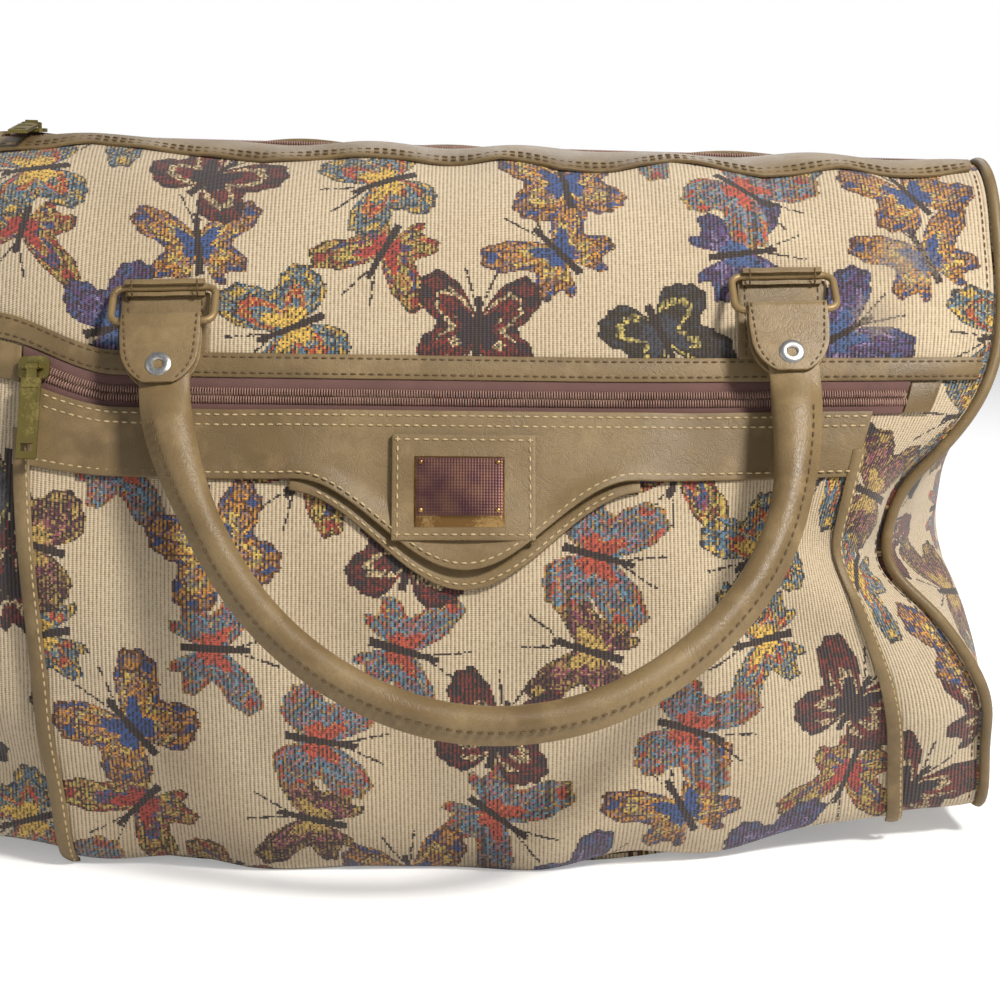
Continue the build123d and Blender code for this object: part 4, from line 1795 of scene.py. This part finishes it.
        piece = leather_strip("badge_leather", patch_place, Side.FRONT, 40, 30, 2.6)
        dress(piece, "bag", "leather", f.leather, "patch")
        stitches = Stitching("badge_stitches", "bag", f.thread)
        i = self.stitch_inset
        ring = [(x0 + i, d0 + i), (x1 - i, d0 + i), (x1 - i, d1 - i), (x0 + i, d1 - i)]
        ring.append(ring[0])
        for (xa, da), (xb, db) in zip(ring, ring[1:]):
            t = np.linspace(0, 1, 24)
            x, down = xa + (xb - xa) * t, da + (db - da) * t
            stitches.on_skin(x, down, POCKET.on_flap(x, down) + 3.2, Side.FRONT)
        stitches.build()
        p0, p1, q0, q1 = self.plate
        for name, inset, hem, rise, crown, thickness, material, nodes in (
            ("plate_bevel", 0.0, 4.6, 4.6, 1.5, 1.0, f.bevel, ("nameplate",)),
            ("plate_face", 1.0, -0.4, 4.75, 0.15, 0.5, f.plate, ()),
        ):

            def plate_place(a: Array, b: Array) -> tuple[Array, Array]:
                """Where the plate's points go.

                Args:
                    a: share across, from 0 to 1.
                    b: share down, from 0 to 1.

                Returns:
                    The points and their flat places.
                """
                x = p0 + inset + (p1 - p0 - 2 * inset) * a
                down = q0 + inset + (q1 + hem - q0 - inset) * b
                sides = np.minimum(np.minimum(a, 1 - a) * (p1 - p0) / 1.2, b * (q1 - q0) / 1.2)
                foot = (q1 + hem - down) / max(hem, 0.6)
                slope = np.clip(np.minimum(sides, foot), 0, 1) * crown
                out = POCKET.on_flap(x, down) + rise - crown + slope
                return laid(x, down, out, Side.FRONT)

            piece = grid_piece(name, 60, 40, plate_place)
            face_towards(piece, (0, -1, 0))
            thicken(piece, thickness)
            smooth_shade(piece, 40)
            dress(piece, "bag", "plate_brass", material, *nodes)
        i = self.stud_inset
        for side_word, x in (("left", p0 + i), ("right", p1 - i)):
            for level, down in (("upper", q0 + i), ("lower", q1 - i)):
                out = POCKET.on_flap(np.array([x]), np.array([down])) + 4.2
                foot = BAG.skin([x], [down], out, Side.FRONT)[0]
                way = BAG.normal(x, down, Side.FRONT)
                t = np.linspace(0, 1.35, 7)[:, None]
                radii = 1.25 * np.sqrt(np.clip(1 - (t / 1.36) ** 4, 0.02, 1))
                profile = round_profile(1.0, 16)[None] * radii[:, None]
                line = foot + way * t
                stud = tube_piece(f"stud_{side_word}_{level}", line, np.tile([1.0, 0, 0], (7, 1)), profile)
                dress(stud, "bag", "plate_brass", f.bevel, f"plate_stud_{side_word}_{level}")

    def build(self) -> None:
        """Make the pocket."""
        self.cloth()
        self.bindings()
        self.flap()
        self.badge()


@dataclass
class Gear:
    """Rings, chapes, tongues and a handle on one side."""

    side: Side
    finishes: Finishes
    spacing: float = 147.0
    down: float = 103.5
    roll_down: tuple[float, float] = (109.0, 98.0)
    ring_drop: float = 23.0
    ring_half: float = 24.2
    wire: float = 1.8
    gap: float = 0.4
    strap: float = 2.0
    ring_lean: float = 50.0
    lean: float = 30.0
    tongue_long: float = 33.0
    tongue_wide: float = 39.0
    tongue_inset: float = 2.4
    roll_wide: float = 37.6
    tail_wide: float = 42.0
    tail_end: float = 140.0
    eyelet_drop: float = -24.0

    def __post_init__(self) -> None:
        """Find the frame on the two roll axes."""
        s = self.side.value
        reach = self.roll_radius + 0.4
        downs = self.roll_downs
        first = self.bare(s * self.spacing, downs[0], reach)
        last = self.bare(-s * self.spacing, downs[1], reach)
        self.along = (last - first) / np.linalg.norm(last - first)
        up = np.array([0, 0, 1.0]) - self.along * self.along[2]
        self.up = up / np.linalg.norm(up)
        self.inward = np.cross(self.up, self.along)
        self.origin = (first + last) / 2

    @property
    def roll_radius(self) -> float:
        """The outside of the leather round the ring's wire."""
        return self.wire + self.gap + self.strap

    @property
    def roll_downs(self) -> tuple[float, float]:
        """How far down the two rolls lie, on this side."""
        return self.roll_down if self.side is Side.FRONT else (self.down, self.down)

    def bare(self, x: float, down: float, out: float) -> Array:
        """A point off the unfolded wall, as the CAD part has it.

        Args:
            x: place along the bag, in millimetres.
            down: distance down from the ridge, in millimetres.
            out: distance outwards, in millimetres.

        Returns:
            The point.
        """
        place, fall = np.array([x]), np.array([down])
        here = BAG.wall(place, fall, self.side)
        along = BAG.wall(place + 1, fall, self.side) - BAG.wall(place - 1, fall, self.side)
        drop = BAG.wall(place, fall + 1, self.side) - BAG.wall(place, fall - 1, self.side)
        normal = np.cross(along, drop)[0]
        return here[0] + normal / np.linalg.norm(normal) * self.side.value * out

    def at_roll(self, points: Array, lean: float = 0.0, origin: Array | None = None) -> Array:
        """Local points, X along the rolls, -Y outwards, leaned about X.

        Args:
            points: one row per point, in millimetres.
            lean: the lean, in degrees.
            origin: where the local frame stands, if not on the rolls.

        Returns:
            One point per row.
        """
        points = np.atleast_2d(np.asarray(points, float))
        a = math.radians(-lean)
        y = points[:, 1] * math.cos(a) - points[:, 2] * math.sin(a)
        z = points[:, 1] * math.sin(a) + points[:, 2] * math.cos(a)
        base = self.origin if origin is None else origin
        return base + points[:, :1] * self.along + y[:, None] * self.inward + z[:, None] * self.up

    def bar(self) -> Array:
        """The middle of the rings' lower bars."""
        return self.at_roll([[0, 0, -self.ring_drop]], self.ring_lean)[0]

    def ends(self) -> list[tuple[str, float]]:
        """Names and local places of the two ends."""
        reach = self.side.value * self.spacing
        return [("left", reach), ("right", -reach)]

    def ring(self, word: str, x: float) -> None:
        """A wire ring with rounded corners.

        Args:
            word: the end's name.
            x: place along the rolls, in millimetres.
        """
        corner, line = 5.0, []
        for cx, cz, start in ((1, 0, 90), (1, -1, 0), (-1, -1, -90), (-1, 0, -180)):
            for t in np.linspace(start, start - 90, 9):
                a = math.radians(t)
                mx = cx * (self.ring_half - corner)
                mz = -corner if cz == 0 else -self.ring_drop + corner
                line.append((x + mx + corner * math.cos(a), 0, mz + corner * math.sin(a)))
        line = resample(np.array(line + line[:1]), 1.6)[:-1]
        points = self.at_roll(line, self.ring_lean)
        across = np.tile(self.at_roll([[0, 1, 0]], self.ring_lean)[0] - self.origin, (len(points), 1))
        side = self.side.name.lower()
        profile = round_profile(self.wire, 14)
        piece = tube_piece(f"wire_ring_{side}_{word}", points, across, profile, closed=True)
        dress(piece, f"{side}_{word}_ring", "ring_paint", self.finishes.ring, f"ring_{side}_{word}")

    def chape(self, word: str, x: float, world_x: float, start: float) -> None:
        """The sewn strap and its roll round the ring.

        Args:
            word: the end's name.
            x: place along the rolls, in millimetres.
            world_x: the strap's place along the bag.
            start: how far down the strap starts.
        """
        f = self.finishes
        side = self.side.name.lower()
        radius, inner = self.roll_radius, self.wire + self.gap
        angles = np.radians(np.linspace(60, -210, 36))
        outer = [(radius * math.cos(t), radius * math.sin(t)) for t in angles]
        lower = [(inner * math.cos(t), inner * math.sin(t)) for t in angles[::-1]]
        loop = np.array(outer + lower)
        turned = np.array([[-q, p] for p, q in loop])

        def roll_place(a: Array, b: Array) -> tuple[Array, Array]:
            """Where the roll's points go.

            Args:
                a: share across, from 0 to 1.
                b: share down, from 0 to 1.

            Returns:
                The points and their flat places.
            """
            j = np.rint(b * len(turned)).astype(int) % len(turned)
            px = x + (a - 0.5) * self.roll_wide
            flare = 0.25 * np.sin(px / 3.3)
            local = np.stack([px, turned[j, 0], turned[j, 1] + flare * 0.3], -1)
            return self.at_roll(local), np.stack([px, b * 60], -1)

        roll = grid_piece(f"chape_roll_{side}_{word}", 30, len(turned), roll_place)
        mend(roll)
        close_ends(roll)
        smooth_shade(roll, 45)
        dress(roll, "bag", "leather", f.leather, f"chape_{side}_{word}")

        def tail_place(a: Array, b: Array) -> tuple[Array, Array]:
            """Where the sewn strap's points go.

            Args:
                a: share across, from 0 to 1.
                b: share down, from 0 to 1.

            Returns:
                The points and their flat places.
            """
            px = world_x + (a - 0.5) * self.tail_wide
            top = start + 1.0
            down = top + (self.tail_end - top) * b
            return laid(px, down, 2.3, self.side)

        tail = leather_strip(f"chape_tail_{side}_{word}", tail_place, self.side, 20, 20, 1.9)
        dress(tail, "bag", "leather", f.leather)
        stitches = Stitching(f"chape_stitches_{side}_{word}", "bag", f.thread_dark)
        downs = np.linspace(start + 6, self.tail_end - 3, 20)
        for offset in (-17.5, 17.5):
            stitches.on_skin(world_x + offset, downs, 2.4, self.side)
        t = np.radians(np.linspace(40, -150, 14))
        for offset in (-15.5, 15.5):
            row = np.stack([np.full_like(t, x + offset), -radius * np.cos(t), radius * np.sin(t)], -1)
            points = self.at_roll(row)
            stitches.add(points, points - self.at_roll(row * [1, 0, 0]))
        stitches.build()

    @staticmethod
    def taper(fall: Array) -> Array:
        """The tongue's width, narrowing to a rounded tip."""
        return (1 - 0.13 * fall) * np.sqrt(1 - 0.84 * (np.maximum(0, fall - 0.5) / 0.5) ** 2)

    def tongue(self, word: str, x: float) -> None:
        """The folded tongue over the ring's lower bar.

        Args:
            word: the end's name.
            x: place along the rolls, in millimetres.
        """
        f = self.finishes
        side = self.side.name.lower()
        origin = self.bar()
        outer = self.roll_radius
        long, half = self.tongue_long, self.tongue_wide / 2
        path = [(-outer, -z) for z in np.linspace(long, 0, 22)]
        turn = np.radians(np.linspace(180, 0, 20))[1:-1]
        path += [(outer * math.cos(t), outer * math.sin(t)) for t in turn]
        path += [(outer, -z) for z in np.linspace(0, long, 22)]
        path = np.array(path)

        def place(a: Array, b: Array) -> tuple[Array, Array]:
            """Where the grid's points go.

            Args:
                a: share across, from 0 to 1.
                b: share down, from 0 to 1.

            Returns:
                The points and their flat places.
            """
            at = b * (len(path) - 1)
            i = np.clip(at.astype(int), 0, len(path) - 2)
            t = (at - i)[:, None]
            yz = path[i] * (1 - t) + path[i + 1] * t
            fall = np.clip(-yz[:, 1], 0, long) / long
            taper = self.taper(fall)
            waist = 1 - 0.05 * np.exp(-((yz[:, 1] - 1) / 6) ** 2)
            across = (2 * a - 1) * half * taper * waist
            crown = 0.7 * (1 - (2 * a - 1) ** 2) * fall
            local = np.stack([x + across, yz[:, 0] + np.sign(yz[:, 0]) * crown, yz[:, 1]], -1)
            return self.at_roll(local, self.lean, origin), np.stack([across, at * 2], -1)

        piece = grid_piece(f"tongue_leather_{side}_{word}", 26, 80, place)
        mesh = piece.data
        centre = origin + self.along * x
        normals = np.zeros(len(mesh.polygons) * 3)
        places = np.zeros(len(mesh.polygons) * 3)
        mesh.polygons.foreach_get("normal", normals)
        mesh.polygons.foreach_get("center", places)
        away = places.reshape(-1, 3) / MM - centre
        if (normals.reshape(-1, 3) * away).sum() < 0:
            mesh.flip_normals()
        thicken(piece, self.strap, 0.35)
        smooth_shade(piece, 50)
        body = f"{side}_handle"
        dress(piece, body, "leather", f.leather_handle, f"tongue_{side}_{word}")
        stitches = Stitching(f"tongue_stitches_{side}_{word}", body, f.thread_dark, pitch=3.6, length=2.6)
        z = np.linspace(1, -long + 3, 22)
        fall = np.clip(-z, 0, long) / long
        edge = half * self.taper(fall) - self.tongue_inset
        for sign in (-1, 1):
            row = np.stack([x + sign * edge, np.full_like(z, -outer - 0.25), z], -1)
            points = self.at_roll(row, self.lean, origin)
            stitches.add(points, self.at_roll(row + [0, -1, 0], self.lean, origin) - points)
        stitches.build()

    def eyelet(self, word: str, x: float) -> None:
        """A rolled nickel eyelet, with a dark plug in its hole as painted shade.

        Args:
            word: the end's name.
            x: place along the rolls, in millimetres.
        """
        side = self.side.name.lower()
        origin = self.bar()
        outer = self.roll_radius
        path = np.array([
            (2.3, outer + 0.2), (2.3, -outer - 0.9), (2.9, -outer - 1.5), (3.9, -outer - 1.6),
            (5.1, -outer - 1.4), (5.9, -outer - 0.9), (6.1, -outer - 0.4), (5.2, -outer - 0.3),
            (3.4, -outer - 0.3), (3.4, outer + 0.2),
        ])
        turns = 40

        def place(a: Array, b: Array) -> tuple[Array, Array]:
            """Where the grid's points go.

            Args:
                a: share across, from 0 to 1.
                b: share down, from 0 to 1.

            Returns:
                The points and their flat places.
            """
            i = np.rint(a * len(path)).astype(int) % len(path)
            t = b * 2 * math.pi
            across, along = path[i, 0] * np.cos(t), path[i, 0] * np.sin(t)
            local = np.stack([x + across, path[i, 1], self.eyelet_drop + along], -1)
            return self.at_roll(local, self.lean, origin), np.stack([a * 10, b * 10], -1)

        # A dark plug fills the eyelet's hole as painted shade.
        depths = np.array([[0, -outer - 0.35, 0], [0, outer, 0]], float)
        core = self.at_roll(depths + [x, 0, self.eyelet_drop], self.lean, origin)
        along = np.tile(self.along, (2, 1))
        shade_plug = tube_piece(f"eyelet_hollow_{side}_{word}", core, along, round_profile(2.5, 20))
        dress(shade_plug, f"{side}_handle", "leather", self.finishes.hollow)
        piece = grid_piece(f"eyelet_ring_{side}_{word}", len(path), turns, place)
        mend(piece, 0.01)
        smooth_shade(piece, 35)
        dress(piece, f"{side}_handle", "eyelet_nickel", self.finishes.nickel, f"eyelet_{side}_{word}")

    def handle(self) -> None:
        """The tubular handle with its welted seam along the outer edge."""
        f = self.finishes
        side = self.side.name.lower()
        origin = self.bar()
        knots = np.array([
            (-144, -16), (-143.5, -33), (-142, -48), (-138, -65.5), (-129, -91.8), (-112, -126.8),
            (-89, -156.4), (-58, -180.4), (-22, -195.8), (14, -199), (52, -192.5), (90, -171.7),
            (120, -142.1), (137, -111.4), (145, -80.8), (147, -48), (147, -33), (146.5, -16),
        ], float)
        line = knots
        for _ in range(4):
            fine = np.empty((2 * len(line) - 1, 2))
            fine[::2], fine[1::2] = line, (line[:-1] + line[1:]) / 2
            fine[1:-1] = (fine[:-2] + 2 * fine[1:-1] + fine[2:]) / 4
            line = fine
        line = resample(line, 3.0)
        steps = np.r_[0, np.cumsum(np.linalg.norm(np.diff(line, axis=0), axis=1))]
        left = np.minimum(steps, steps[-1] - steps)
        swell = smooth((left - 14) / 26)
        thick = 2.0 + 5.4 * swell
        wide = 10.6 - 3.0 * smooth((left - 30) / 60)
        t = np.linspace(0, 2 * math.pi, 28, endpoint=False)
        shape = []
        for k in range(len(line)):
            fin = np.exp(-((((t - 0.5 * math.pi) + math.pi) % (2 * math.pi) - math.pi) / 0.22) ** 2)
            px = thick[k] * np.cos(t) * (1 - 0.25 * fin)
            py = wide[k] * np.sin(t) + fin * 2.6
            px = px + np.sign(np.cos(t)) * fin * 1.1 * (np.abs(np.cos(t)) > 1e-6)
            shape.append(np.stack([px, py], -1))
        local = np.stack([line[:, 0], np.zeros(len(line)), line[:, 1]], -1)
        points = self.at_roll(local, self.lean, origin)
        across_dir = self.at_roll([[0, -1, 0]], self.lean, origin)[0] - origin
        across = np.tile(across_dir, (len(points), 1))
        piece = tube_piece(f"handle_leather_{side}", points, across, np.array(shape))
        body = f"{side}_handle"
        dress(piece, body, "leather", f.leather_handle, f"handle_{side}")
        ahead = np.gradient(points, axis=0)
        ahead /= np.linalg.norm(ahead, axis=1, keepdims=True)
        down_dir = np.cross(ahead, across_dir)
        stitches = Stitching(f"handle_stitches_{side}", body, f.thread_dark, pitch=4.6, length=3.2)
        keep = left > 34
        row = points + down_dir * (wide * 0.80)[:, None] + across_dir * (thick * 0.62 + 0.6)[:, None]
        stitches.add(row[keep], np.tile(across_dir, (keep.sum(), 1)) + down_dir[keep] * 0.8)
        stitches.build()

    def build(self) -> None:
        """Make the whole set."""
        for word, x in self.ends():
            number = ("left", "right").index(word)
            world_x, start = (-self.spacing, self.spacing)[number], self.roll_downs[number]
            self.ring(word, x)
            self.chape(word, x, world_x, start)
            self.tongue(word, x)
            self.eyelet(word, x)
        self.handle()


@dataclass
class Studio:
    """Plain pale floor, soft lights and the photograph's camera."""

    eye: tuple[float, float, float] = (12.4, -1080.0, 335.5)
    pitch: float = 9.0
    focal: float = 2090.0

    def build(self) -> None:
        """Set the stage."""
        scene = bpy.context.scene
        scene.view_settings.view_transform = "Standard"
        clear_selection()
        bpy.ops.mesh.primitive_plane_add(size=30, location=(0, 0, -0.0005))
        floor = bpy.context.object
        floor.name = "floor"
        shader = Shader("floor_white")
        shader.set(Base_Color=(0.86, 0.86, 0.86, 1), Roughness=0.9)
        path = shader.node("ShaderNodeLightPath")
        glow = shader.node("ShaderNodeEmission", Color=(1, 1, 1, 1), Strength=0.32)
        both = shader.node("ShaderNodeAddShader", i0=shader.surface.outputs[0], i1=glow.outputs[0])
        plain = shader.surface.outputs[0]
        seen = path.outputs["Is Camera Ray"]
        mixed = shader.node("ShaderNodeMixShader", i0=seen, i1=plain, i2=both.outputs[0])
        shader.tree.links.new(mixed.outputs[0], shader.tree.nodes["Material Output"].inputs[0])
        floor.data.materials.append(shader.material)
        world = bpy.data.worlds.new("studio")
        scene.world = world
        world.use_nodes = True
        tree = world.node_tree
        back = tree.nodes["Background"]
        back.inputs[0].default_value = (0.93, 0.95, 1.0, 1)
        back.inputs[1].default_value = 0.29
        shown = tree.nodes.new("ShaderNodeBackground")
        shown.inputs[0].default_value = (1, 1, 1, 1)
        shown.inputs[1].default_value = 1.0
        ray = tree.nodes.new("ShaderNodeLightPath")
        mix = tree.nodes.new("ShaderNodeMixShader")
        tree.links.new(ray.outputs["Is Camera Ray"], mix.inputs[0])
        tree.links.new(back.outputs[0], mix.inputs[1])
        tree.links.new(shown.outputs[0], mix.inputs[2])
        tree.links.new(mix.outputs[0], tree.nodes["World Output"].inputs[0])
        for name, place, size, power, colour in (
            ("key", (0.95, -1.1, 1.5), 0.36, 43.0, (1.0, 0.97, 0.92)),
            ("fill", (-1.5, -1.4, 0.9), 1.4, 2.8, (0.95, 0.97, 1.0)),
            ("back", (0.2, 1.6, 1.6), 1.4, 14.0, (1.0, 1.0, 1.0)),
        ):
            light = bpy.data.lights.new(name, "AREA")
            light.shape = "DISK"
            light.size = size
            light.energy = power
            light.color = colour
            lamp = bpy.data.objects.new(name, light)
            scene.collection.objects.link(lamp)
            lamp.location = place
            aim = np.array([0, 0, 0.17]) - np.array(place)
            lamp.rotation_euler = (
                math.atan2(math.hypot(aim[0], aim[1]), -aim[2]), 0, math.atan2(aim[1], aim[0]) - math.pi / 2
            )
        camera = bpy.data.cameras.new("camera")
        camera.sensor_width = 36.0
        camera.lens = 36.0 * self.focal / 1000
        camera.clip_start, camera.clip_end = 0.05, 50
        seat = bpy.data.objects.new("camera", camera)
        scene.collection.objects.link(seat)
        seat.location = tuple(c * MM for c in self.eye)
        seat.rotation_euler = (math.radians(90 - self.pitch), 0, 0)
        scene.camera = seat


def main() -> None:
    """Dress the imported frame."""
    logging.basicConfig(level=logging.INFO, format="%(message)s")
    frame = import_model()
    finishes = Finishes()
    Panels(finishes).build()
    Piping(finishes).build()
    TopStrips(finishes).build()
    MainZip(finishes).build()
    PocketZip(finishes).build()
    FrontPocket(finishes).build()
    for side in Side:
        Gear(side, finishes).build()
    for node in ("pocket_slider", "pocket_pull", "main_slider", "main_pull"):
        mesh = frame["nodes"][node].data
        mesh.materials.clear()
        mesh.materials.append(finishes.brass)
    Studio().build()
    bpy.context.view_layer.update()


if __name__ == "__main__":
    main()
